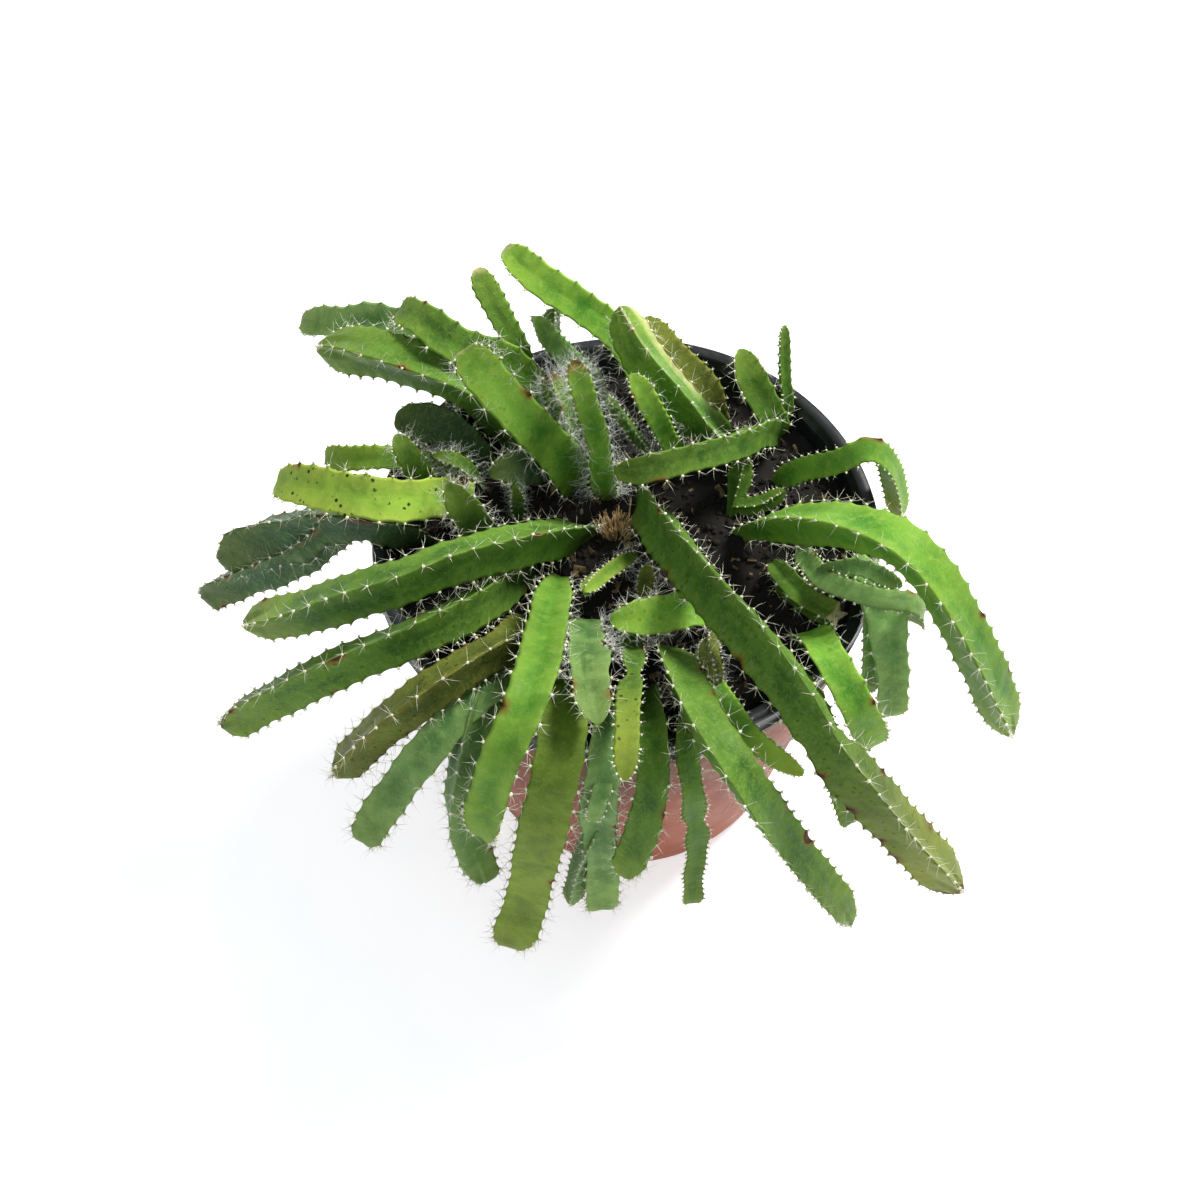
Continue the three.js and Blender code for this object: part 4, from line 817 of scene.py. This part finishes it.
def growShoot(shoot, order, look, rng):
    shape, branch, cut = stemShape, order > 0, look.get("cut", False)
    width, ribs = shoot["width"], shoot["ribs"]
    big = width >= shape["bigWidth"]
    kind = shape["big" if big else "small"]
    pitch = kind["pitch"]
    if not big:
        pitch *= shape["slimPitchFrom"] + width / shape["slimPitchWidth"]
    line = pathLine(shoot["path"], branch)
    walked = np.concatenate([[0], np.cumsum(np.linalg.norm(np.diff(line, axis=0), axis=1))])
    length = walked[-1]
    at, tipFrom = placeRings(shoot, look, length, kind["ring"])
    centres, along, across, up = pathFrames(line, walked, at)
    size, free, closing = widthAlong(shoot, branch, cut, at, tipFrom, length)
    share = at / length
    middle = int(np.argmin(np.abs(at - length / 2)))
    facing = np.array(shape["facing"])
    start = math.atan2(facing @ up[middle], facing @ across[middle]) + math.radians(shoot["turn"])

    # Ribs, teeth and lobes
    valley = look.get("valley", shoot.get("valley", shape["valley"][ribs]))
    angles, reaches, margins, owners, faceShare = section(ribs, kind["shares"], valley)
    crook = math.radians(shape["crook"]) * np.sin(share * rng.uniform(3, 6) + rng.uniform(0, 6))
    turned = start + angles[None, :] + crook[:, None]
    root, jitter = 2 if branch else shape["rootDepth"] + 3, shape["firstJitter"]
    firsts = np.array([root + pitch * (k / ribs + rng.uniform(0, jitter)) for k in range(ribs)])
    wave = np.abs(np.sin(math.pi * (at[:, None] - firsts[None, :]) / pitch)) ** shape["toothRound"]
    swing = rng.uniform(0, 6, (2, ribs))
    long = np.sin(at[:, None] / shape["swayLong"] + swing[0])
    short = np.sin(at[:, None] / shape["swayShort"] + swing[1])
    sway = 1 + look.get("wander", kind["wander"]) * (long + shape["swayShare"] * short)
    tooth = (1 - kind["dip"] * wave + shape["toothPeak"] * (1 - wave) ** 3)[:, owners]
    distance = reaches[None, :] * (1 - margins[None, :] * (1 - tooth)) * sway[:, owners]
    for number, rib, lobeFrom, lobeTo, amount in look.get("lobes", []):
        if number != order:
            continue
        swell = np.sin(math.pi * np.clip((share - lobeFrom) / (lobeTo - lobeFrom), 0, 1))
        swell = swell ** shape["lobeRound"]
        distance *= 1 + amount * swell[:, None] * ((owners == rib) * np.sqrt(margins))[None, :]
    if isCrested(shoot):
        fade = shape["crestFade"] * smooth(at, length - shape["crestFadeWidths"] * width, length)
        distance *= 1 - fade[:, None] * (owners == 0)[None, :]
    distance *= (width * shape["reach"][ribs] * size)[:, None]
    radial = np.cos(turned)[:, :, None] * across[:, None, :] + np.sin(turned)[:, :, None] * up[:, None, :]
    rings = centres[:, None, :] + radial * distance[:, :, None]

    # Rings joined by quads, with a fan at the foot and one at the tip
    sides, count = len(angles), len(at)
    tip = centres[-1] - along[-1] * shape["cutDepth"] if cut else line[-1]
    points = np.vstack([centres[:1], rings.reshape(-1, 3), tip])
    rows = 1 + np.arange(count)[:, None] * sides + np.arange(sides)[None, :]
    beside = np.roll(rows, -1, axis=1)
    quads = np.stack([rows[:-1], beside[:-1], beside[1:], rows[1:]], axis=-1).reshape(-1, 4)
    foot = np.stack([np.zeros(sides, int), beside[0], rows[0]], axis=-1)
    head = np.stack([rows[-1], beside[-1], np.full(sides, len(points) - 1)], axis=-1)

    grown = {
        "at": at, "length": length, "tipFrom": tipFrom, "share": share, "free": free, "closing": closing,
        "ribs": ribs, "width": width, "pitch": pitch, "firsts": firsts, "wave": wave, "drift": swing[0][0],
        "margins": margins, "owners": owners, "faceShare": faceShare,
        "rings": rings, "radial": radial, "along": along, "big": big,
    }
    masks = paintShoot(order, look, grown, rng)
    return points, [quads, foot, head], masks, placeAreoles(grown)


def paintShoot(order, look, grown, rng):
    # Masks: "marks" is margin, scar and yellow; the second layer is light (each stem's brightness, partly
    # painted light and shade), dry and spots; "flow" leads the veins
    marks = skinMarks
    at, length, share, owners = grown["at"], grown["length"], grown["share"], grown["owners"]
    ribs, count, sides = grown["ribs"], len(at), len(owners)
    edge = np.tile(grown["margins"], (count, 1))
    scar = edge ** 2 * marks["toothScar"] * ((1 - grown["wave"]) ** 5)[:, owners]
    for _ in range(round(look.get("scars", marks["scars"]) * length * ribs / marks["scarEvery"])):
        where = rng.uniform(0.1, 1) * length
        reach, rib = rng.uniform(*marks["scarReach"]), rng.integers(ribs)
        scar += np.exp(-((at - where) / reach) ** 2)[:, None] * ((owners == rib) * edge[0] ** 1.2)
    for number, rib, where, reach, strength in look.get("burns", []):
        near = np.exp(-((at - where * length) / reach) ** 2)[:, None]
        scar += (number == order) * strength * near * ((owners == rib) * edge[0] ** 0.8)
    ending = smooth(at, length - look.get("tipLength", marks["tipLength"]), length)[:, None]
    if look.get("tip") == "bruise":
        scar += marks["tipBruise"] * ending
    yellowFrom, yellowPower = look.get("yellow", marks["yellow"])
    yellow = np.tile((yellowPower * smooth(share, yellowFrom, 1))[:, None], (1, sides))
    # Light is partly painted light and shade: endLight paints it towards the tip, and rootShade paints shade
    # near the soil
    drift = marks["lightDrift"] * np.sin(at / marks["driftLength"] + grown["drift"])[:, None]
    light = look.get("light", marks["light"]) + drift + np.zeros_like(edge)
    light = light + look.get("endLight", 0) * smooth(share, *marks["endFrom"])[:, None]
    light = light - marks["rootShade"] * (1 - smooth(grown["free"], 0, marks["rootShadeLength"]))[:, None]
    dry = ending * (marks["tipDry"] if look.get("tip") == "dry" else 0.0) + np.zeros_like(edge)
    for rib, paleFrom, amount in look.get("pales", []):
        near = smooth(share, paleFrom, paleFrom + marks["paleReach"])[:, None]
        dry += amount * near * ((owners == rib) * edge[0] ** 0.6)
    dry = np.minimum(dry, marks["dryMost"])
    spotty = np.full_like(edge, look.get("spots", marks["spots"]))

    def overShell(values, end):
        return np.concatenate([[values[0, 0]], values.ravel(), [end]])

    cut = look.get("cut", False)
    flowAlong = np.tile(at[:, None] / 100, (1, sides))
    flowAcross = np.tile(grown["faceShare"], (count, 1))
    flowRib = np.tile(owners * 0.31 + rng.uniform(), (count, 1))
    masks = {
        "marks": [overShell(edge, 0), overShell(np.clip(scar, 0, marks["scarMost"]), scar[-1].mean()),
                  overShell(yellow, yellow[-1, 0])],
        "growthAndPaintedLight": [overShell(light, light[-1, 0]), overShell(dry, 1.0 if cut else dry[-1, 0]),
                   overShell(spotty, 0)],
        "flow": [overShell(flowAlong, length / 100), overShell(flowAcross, 0), overShell(flowRib, 0)],
    }
    masks = {layer: np.stack(values, axis=1) for layer, values in masks.items()}
    if cut:
        masks["growthAndPaintedLight"][1 + (count - 1) * sides:, 1] = 1.0
    return masks


def placeAreoles(grown):
    # Areoles on every tooth, closer together round the tip, each with the way it faces
    at, pitch, length, closing = grown["at"], grown["pitch"], grown["length"], grown["closing"]
    rings, radial, along = grown["rings"], grown["radial"], grown["along"]
    feet, outs, alongs, places = [], [], [], []
    for rib in range(grown["ribs"]):
        spots, where = [], grown["firsts"][rib]
        while where < length - grown["width"] * areoleShape["tipGap"]:
            spots.append(where)
            onTip = where >= grown["tipFrom"] - pitch * 0.5
            where += pitch * areoleShape["tipPitch"] if onTip else pitch
        column = rib * (rings.shape[1] // grown["ribs"])
        for where in spots:
            i = int(np.argmin(np.abs(at - where)))
            if grown["free"][i] < areoleShape["aboveSoil"]:
                continue
            lean = math.asin(min(closing[i], 0.98)) * areoleShape["tipLean"]
            feet.append(rings[i, column])
            outs.append(radial[i, column] * math.cos(lean) + along[i] * math.sin(lean))
            alongs.append(along[i] * math.cos(lean) - radial[i, column] * math.sin(lean))
            places.append(grown["share"][i])
    return {"feet": np.array(feet), "outs": np.array(outs), "alongs": np.array(alongs),
            "places": np.array(places), "big": grown["big"]}


def crossAxes(directions):
    # Two directions square to each needle or hair
    guide = np.where(np.abs(directions[:, 2:3]) < 0.8, [[0.0, 0, 1]], [[1.0, 0, 0]])
    side = unit(np.cross(directions, guide))
    return side, np.cross(directions, side)


def cornersOf(side, other):
    return [side * math.cos(k * thirdTurn) + other * math.sin(k * thirdTurn) for k in range(3)]


def tubeFaces(levels, sides):
    # Quads round a tube, level by level
    return [[a + k, a + (k + 1) % sides, a + sides + (k + 1) % sides, a + sides + k]
            for a in range(0, (levels - 1) * sides, sides) for k in range(sides)]


def repeatFaces(count, corners, *groups):
    # The same faces on each of many small solids
    first = (np.arange(count) * corners)[:, None, None]
    return [(first + np.array(faces)).reshape(-1, len(faces[0])) for faces in groups]


def spikeFaces(count, levels):
    a = levels * 3 - 3
    tip = [[a, a + 1, a + 3], [a + 1, a + 2, a + 3], [a + 2, a, a + 3], [0, 2, 1]]
    return repeatFaces(count, levels * 3 + 1, tubeFaces(levels, 3), tip)


def growNeedles(shells, feet, directions, lengths, radius, material, rng):
    shape, count = needleShape, len(feet)
    side, other = crossAxes(directions)
    bend = side * rng.normal(0, shape["bend"], (count, 1)) + other * rng.normal(0, shape["bend"], (count, 1))
    reach = lengths[:, None]
    points = np.zeros((count, 7, 3))
    for k, corner in enumerate(cornersOf(side, other)):
        points[:, k] = feet - directions * shape["sunk"] + corner * radius
        points[:, 3 + k] = feet + directions * reach * 0.5 + bend * reach + corner * radius * shape["taper"]
    points[:, 6] = feet + directions * reach + bend * reach * 0.5
    addShell(shells, points.reshape(-1, 3), spikeFaces(count, 2), material)


def growHairs(shells, feet, directions, lengths, radius, material, rng):
    count, bends = len(feet), hairShape["bends"]
    points = np.zeros((count, bends * 3 + 1, 3))
    here, heading = feet.copy(), directions.copy()
    for step in range(bends):
        for k, corner in enumerate(cornersOf(*crossAxes(heading))):
            points[:, step * 3 + k] = here + corner * radius * (1 - hairShape["taper"] * step)
        here = here + heading * (lengths / bends)[:, None]
        heading = unit(heading + rng.normal(0, hairShape["curl"], (count, 3)))
    points[:, -1] = here
    addShell(shells, points.reshape(-1, 3), spikeFaces(count, bends), material)


def lumpShape():
    clearSelection()
    bpy.ops.mesh.primitive_ico_sphere_add(subdivisions=1, radius=1)
    lump = bpy.context.object
    points = np.array([v.co[:] for v in lump.data.vertices])
    faces = np.array([p.vertices[:] for p in lump.data.polygons])
    bpy.data.objects.remove(lump, do_unlink=True)
    return points, faces


lumpPoints, lumpFaces = lumpShape()


def strew(shells, places, sizes, shape, axes, faces, material, rounded=True):
    # A small solid of its own shape and axes at every place
    points = sum(shape[:, :, k:k + 1] * axes[k][:, None] for k in range(3))
    points = points * sizes[:, None, None] + places[:, None, :]
    faces = repeatFaces(len(places), shape.shape[1], faces)
    addShell(shells, points.reshape(-1, 3), faces, material, rounded=rounded)


def addLumps(shells, places, sizes, material, rng, rough, flat=None):
    count = len(places)
    turns = unit(rng.normal(0, 1, (count, 3)))
    other = unit(np.cross(turns, rng.normal(0, 1, (count, 3))))
    third = np.cross(turns, other)
    scales = np.ones((count, 3)) if flat is None else rng.uniform(flat[0], flat[1], (count, 3))
    shape = lumpPoints[None] * (1 + rng.normal(0, rough, (count, len(lumpPoints), 1))) * scales[:, None, :]
    strew(shells, places, sizes, shape, (turns, other, third), lumpFaces, material)


chipShape = {
    "upright": 0.35, "lean": 0.45,
    "least": (0.8, 0.35, 0.1), "most": (1.6, 0.75, 0.3), "corners": (0.55, 1.15),
}


def addChips(shells, places, sizes, material, rng):
    # Splintered flakes: flat boxes with every corner out of true
    setup, count = chipShape, len(places)
    corners = np.array([[x, y, z] for z in (-1, 1) for x, y in ((-1, -1), (1, -1), (1, 1), (-1, 1))], float)
    along = unit(rng.normal(0, 1, (count, 3)) * (1, 1, setup["upright"]))
    aside = unit(np.cross(along, rng.normal(0, setup["lean"], (count, 3)) + (0, 0, 1)))
    above = np.cross(along, aside)
    shape = corners[None] * rng.uniform(setup["least"], setup["most"], (count, 3))[:, None, :]
    shape = shape * rng.uniform(*setup["corners"], (count, 8, 3))
    quads = [[3, 2, 1, 0], [4, 5, 6, 7], [0, 1, 5, 4], [1, 2, 6, 5], [2, 3, 7, 6], [3, 0, 4, 7]]
    strew(shells, places, sizes, shape, (along, aside, above), quads, material, rounded=False)


def dressAreoles(shells, areoles, hair, rng):
    shape = spineShape
    kind = shape["big" if areoles["big"] else "small"]
    feet, outs, alongs = areoles["feet"], areoles["outs"], areoles["alongs"]
    counts = rng.integers(kind["count"][0], kind["count"][1] + 1, len(feet))
    which = np.repeat(np.arange(len(feet)), counts)
    order = np.concatenate([np.arange(c) for c in counts])
    phase = rng.uniform(0, 6, len(feet))[which]
    spin = 2 * math.pi * order / counts[which] + phase + rng.normal(0, shape["spinJitter"], len(which))
    inner, outer = (rng.uniform(*shape[key], len(which)) for key in ("innerTilt", "outerTilt"))
    tilt = np.where(order == 0, inner, outer)
    sides = np.cross(outs, alongs)
    around = alongs[which] * np.cos(spin)[:, None] + sides[which] * np.sin(spin)[:, None]
    directions = unit(outs[which] * np.cos(tilt)[:, None] + around * np.sin(tilt)[:, None])
    lengths = rng.uniform(*kind["length"], len(which))
    growNeedles(shells, feet[which], directions, lengths, kind["radius"], 1, rng)
    wool = rng.uniform(*shape["woolSizes"], len(feet)) * kind["wool"]
    addLumps(shells, feet + outs * shape["woolOut"], wool, 2, rng, shape["woolRough"])
    if hair:
        low, high, each, reach = hair
        inside = np.where((areoles["places"] >= low) & (areoles["places"] <= high))[0]
        which = np.repeat(inside, each)
        stray = rng.normal(0, hairShape["stray"], (len(which), 3))
        directions = unit(outs[which] * hairShape["out"] + stray)
        lengths = rng.uniform(*hairShape["lengths"], len(which)) * reach
        growHairs(shells, feet[which], directions, lengths, hairShape["radius"], 3, rng)


def growStem(name, stem, rng):
    look = stemLooks.get(name, {})
    shells = []
    for number, shoot in enumerate(stem["shoots"]):
        points, faces, masks, areoles = growShoot(shoot, number, look, rng)
        addShell(shells, points, faces, 0, masks)
        if len(areoles["feet"]):
            dressAreoles(shells, areoles, stemHair.get(name), rng)
    materials = [skins[look.get("skin", stem["tone"])], spineMaterial, woolMaterial, hairMaterial]
    makePiece(name.replace("stem_", "cactus_"), shells, materials, name)


for number, (name, stem) in enumerate(stems.items()):
    growStem(name, stem, np.random.default_rng(plantSeed + number))
print("stems grown:", len(stems))


# Pot: profiles of radius and height in mm, spun round the upright axis
potSetup = {
    "sides": 144, "weld": 0.004, "smoothTo": 38,
    "cover": {
        "deep": "7d3d2a", "body": "9c533a", "dust": "b38a72", "dusty": 0.10, "rough": 0.5, "gloss": 0.1,
        "profile": [
            (0, 0), (51.5, 0), (53.2, 0.3), (54.6, 1.1), (55.5, 2.4), (56.1, 5.6), (56.7, 6.4), (57.0, 9),
            (65.6, 64), (75.0, 117.6), (75.4, 119.4), (75.3, 120.3), (74.9, 120.7), (74.0, 120.7),
            (73.5, 119.9), (64.2, 64), (53.9, 4.2), (53.2, 3), (0, 3)],
    },
    "grow": {
        "deep": "1b1d20", "body": "2c2f33", "dust": "6d6f70", "dusty": 0.22, "rough": 0.36, "gloss": 0.4,
        "profile": [
            (0, 7.6), (50.5, 7.6), (52, 9), (72.4, 118.5), (72.9, 119.6), (73.2, 127.8), (74.0, 128.3),
            (74.6, 128.0), (74.6, 121), (75.0, 121), (75.9, 121.2), (76.1, 122.0), (75.6, 122.9),
            (75.6, 126.6), (76.0, 127.4), (76.05, 128.8), (75.6, 129.7), (74.8, 130), (73.2, 130),
            (72.3, 129.6), (71.8, 128.7), (71.5, 127.2), (70.9, 126.3), (71.4, 120), (50.5, 9), (0, 9)],
    },
    "drain": {"count": 5, "radius": 3.5, "ring": 32, "height": 8.3, "depth": 4, "sides": 24},
}


def spinProfile(name, profile):
    clearSelection()
    mesh = bpy.data.meshes.new(name)
    points = [(r * mm, 0, z * mm) for r, z in profile]
    mesh.from_pydata(points, [(i, i + 1) for i in range(len(points) - 1)], [])
    piece = addObject(name, mesh)
    bpy.context.view_layer.objects.active = piece
    piece.select_set(True)
    bpy.ops.object.mode_set(mode="EDIT")
    bpy.ops.mesh.select_all(action="SELECT")
    bpy.ops.mesh.spin(steps=potSetup["sides"], angle=2 * math.pi, center=(0, 0, 0), axis=(0, 0, 1))
    bpy.ops.mesh.select_all(action="SELECT")
    bpy.ops.mesh.remove_doubles(threshold=potSetup["weld"] * mm)
    bpy.ops.mesh.normals_make_consistent(inside=False)
    bpy.ops.object.mode_set(mode="OBJECT")
    bpy.ops.object.shade_smooth_by_angle(angle=math.radians(potSetup["smoothTo"]))
    return piece


def finishPot(piece, material, node):
    piece.data.materials.clear()
    piece.data.materials.append(material)
    placePiece(piece, node)


def cutDrainHoles(pot, setup):
    for k in range(setup["count"]):
        angle = k * 2 * math.pi / setup["count"]
        spot = (math.cos(angle) * setup["ring"], math.sin(angle) * setup["ring"], setup["height"])
        clearSelection()
        bpy.ops.mesh.primitive_cylinder_add(vertices=setup["sides"], radius=setup["radius"] * mm,
                                            depth=setup["depth"] * mm, location=[v * mm for v in spot])
        drill = bpy.context.object
        bpy.context.view_layer.objects.active = pot
        cutter = pot.modifiers.new("drainHole", "BOOLEAN")
        cutter.operation = "DIFFERENCE"
        cutter.object = drill
        bpy.ops.object.modifier_apply(modifier=cutter.name)
        bpy.data.objects.remove(drill, do_unlink=True)


coverPot = spinProfile("coverPotShell", potSetup["cover"]["profile"])
finishPot(coverPot, potMaterial("terracottaPlastic", potSetup["cover"]), "cover_pot")
growingPot = spinProfile("growingPotShell", potSetup["grow"]["profile"])
cutDrainHoles(growingPot, potSetup["drain"])
finishPot(growingPot, potMaterial("blackPlastic", potSetup["grow"]), "growing_pot")
print("pots turned")

# Soil: a lumpy filling with crumbs and bark chips lying on it
soilSetup = {
    "top": 119, "lump": 1.0, "edge": 70.9, "foot": 50.0, "bottom": 9.3, "rings": 58, "sides": 150,
    "waves": (0.21, 0.17), "clods": (0.16, 1.3), "grains": (0.6, 0.7), "sunk": 0.3, "margin": 3.5,
    "lift": 0.2, "crumbRough": 0.2, "crumbFlat": (0.7, 1.1),
    "crumbs": 1700, "crumbSize": (0.4, 1.5), "chips": 420, "chipSize": (0.5, 1.7), "seed": 12,
}


def soilLevel(x, y):
    waves, clods, grains = (soilSetup[key] for key in ("waves", "clods", "grains"))
    wave = soilSetup["lump"] * math.sin(x * waves[0] + 1) * math.cos(y * waves[1] - 0.5)
    clod = noise.noise(Vector((x * clods[0], y * clods[0], 3))) * clods[1]
    grain = noise.noise(Vector((x * grains[0], y * grains[0], 9))) * grains[1]
    return soilSetup["top"] + wave + (clod + grain) - soilSetup["sunk"]


def fillSoil():
    setup = soilSetup
    sides, rings = setup["sides"], setup["rings"]
    points = [(0, 0, soilLevel(0, 0))]
    for ring in range(1, rings + 1):
        radius = setup["edge"] * ring / rings
        for k in range(sides):
            x, y = (radius * f(k * 2 * math.pi / sides) for f in (math.cos, math.sin))
            points.append((x, y, soilLevel(x, y)))
    for k in range(sides):
        angle = k * 2 * math.pi / sides
        points.append((setup["foot"] * math.cos(angle), setup["foot"] * math.sin(angle), setup["bottom"]))
    points.append((0, 0, setup["bottom"]))
    rows = 1 + np.arange(rings + 1)[:, None] * sides + np.arange(sides)[None, :]
    beside = np.roll(rows, -1, axis=1)
    quads = np.stack([rows[:-1], rows[1:], beside[1:], beside[:-1]], axis=-1).reshape(-1, 4)
    top = np.stack([np.zeros(sides, int), rows[0], beside[0]], axis=-1)
    base = np.stack([np.full(sides, len(points) - 1), beside[-1], rows[-1]], axis=-1)
    shells = []
    addShell(shells, points, [quads, top, base], 0)
    rng = np.random.default_rng(setup["seed"])

    def scatter(count, sizes):
        radius = np.sqrt(rng.uniform(0, 1, count)) * (setup["edge"] - setup["margin"])
        angle = rng.uniform(0, 2 * math.pi, count)
        size = rng.uniform(*sizes, count)
        spots = np.stack([radius * np.cos(angle), radius * np.sin(angle)], axis=1)
        heights = np.array([soilLevel(x, y) for x, y in spots]) + size * setup["lift"]
        return np.column_stack([spots, heights]), size

    places, sizes = scatter(setup["crumbs"], setup["crumbSize"])
    addLumps(shells, places, sizes, 1, rng, setup["crumbRough"], setup["crumbFlat"])
    places, sizes = scatter(setup["chips"], setup["chipSize"])
    addChips(shells, places, sizes, 2, rng)
    makePiece("soilFilling", shells, [soilMaterial, crumbMaterial, barkMaterial], "soil")


fillSoil()
print("soil filled")

# The frayed stump of an old stem
stumpSetup = {
    "at": (-2, 4.5), "long": 4.6, "short": 2.9, "height": 7.0, "fibres": 130, "seed": 5,
    "fill": 0.95, "inset": 0.8, "sunk": 4.0, "flare": (0.42, 0.3), "stray": 0.1, "lengths": (0.8, 1.25),
    "hidden": 3.5, "levels": 5, "wide": (0.25, 0.6), "deep": (0.12, 0.25), "bow": 0.09, "taper": 0.75,
}


def growFibres(shells, feet, directions, lengths, rng):
    # Flat splints, each a thin four-sided strip that narrows to its end
    setup, count = stumpSetup, len(feet)
    levels = setup["levels"]
    side = unit(np.cross(directions, rng.normal(0, 1, (count, 3))))
    thin = np.cross(directions, side)
    wide, deep = rng.uniform(*setup["wide"], (count, 1)), rng.uniform(*setup["deep"], (count, 1))
    bow = rng.normal(0, setup["bow"], (count, 3))
    points = np.zeros((count, levels * 4, 3))
    for level in range(levels):
        share = level / (levels - 1)
        centre = feet + directions * (lengths * share)[:, None] + bow * (lengths * share ** 2)[:, None]
        slim = 1 - setup["taper"] * share
        for k, (a, b) in enumerate(((1, 1), (-1, 1), (-1, -1), (1, -1))):
            points[:, level * 4 + k] = centre + side * wide * a * slim + thin * deep * b * slim
    ends = [[3, 2, 1, 0], list(range(levels * 4 - 4, levels * 4))]
    faces = repeatFaces(count, levels * 4, ends + tubeFaces(levels, 4))
    addShell(shells, points.reshape(-1, 3), faces, 0)


def frayStump():
    setup = stumpSetup
    count, inset, flare = setup["fibres"], setup["inset"], setup["flare"]
    rng = np.random.default_rng(setup["seed"])
    angle = rng.uniform(0, 2 * math.pi, count)
    out = np.sqrt(rng.uniform(0, 1, count)) * setup["fill"]
    feet = np.column_stack([setup["at"][0] + np.cos(angle) * out * setup["long"] * inset,
                            setup["at"][1] + np.sin(angle) * out * setup["short"] * inset,
                            np.full(count, soilSetup["top"] - setup["sunk"])])
    aim = np.column_stack([np.cos(angle) * out * flare[0], np.sin(angle) * out * flare[1], np.ones(count)])
    directions = unit(aim + rng.normal(0, setup["stray"], (count, 3)))
    lengths = rng.uniform(*setup["lengths"], count) * (setup["height"] + setup["hidden"])
    shells = []
    growFibres(shells, feet, directions, lengths, rng)
    makePiece("frayedStump", shells, [fibreMaterial], "stem_stump")


frayStump()
print("stump frayed")


# Table
def layTable():
    clearSelection()
    bpy.ops.mesh.primitive_plane_add(size=8, location=(0, 0, 0))
    table = bpy.context.object
    table.name = "whiteTable"
    shader = tableMaterial.node_tree.nodes["Principled BSDF"]
    shader.inputs["Emission Color"].default_value = lightSetup["tableColor"]
    shader.inputs["Emission Strength"].default_value = lightSetup["tableGlow"]
    table.data.materials.append(tableMaterial)


layTable()
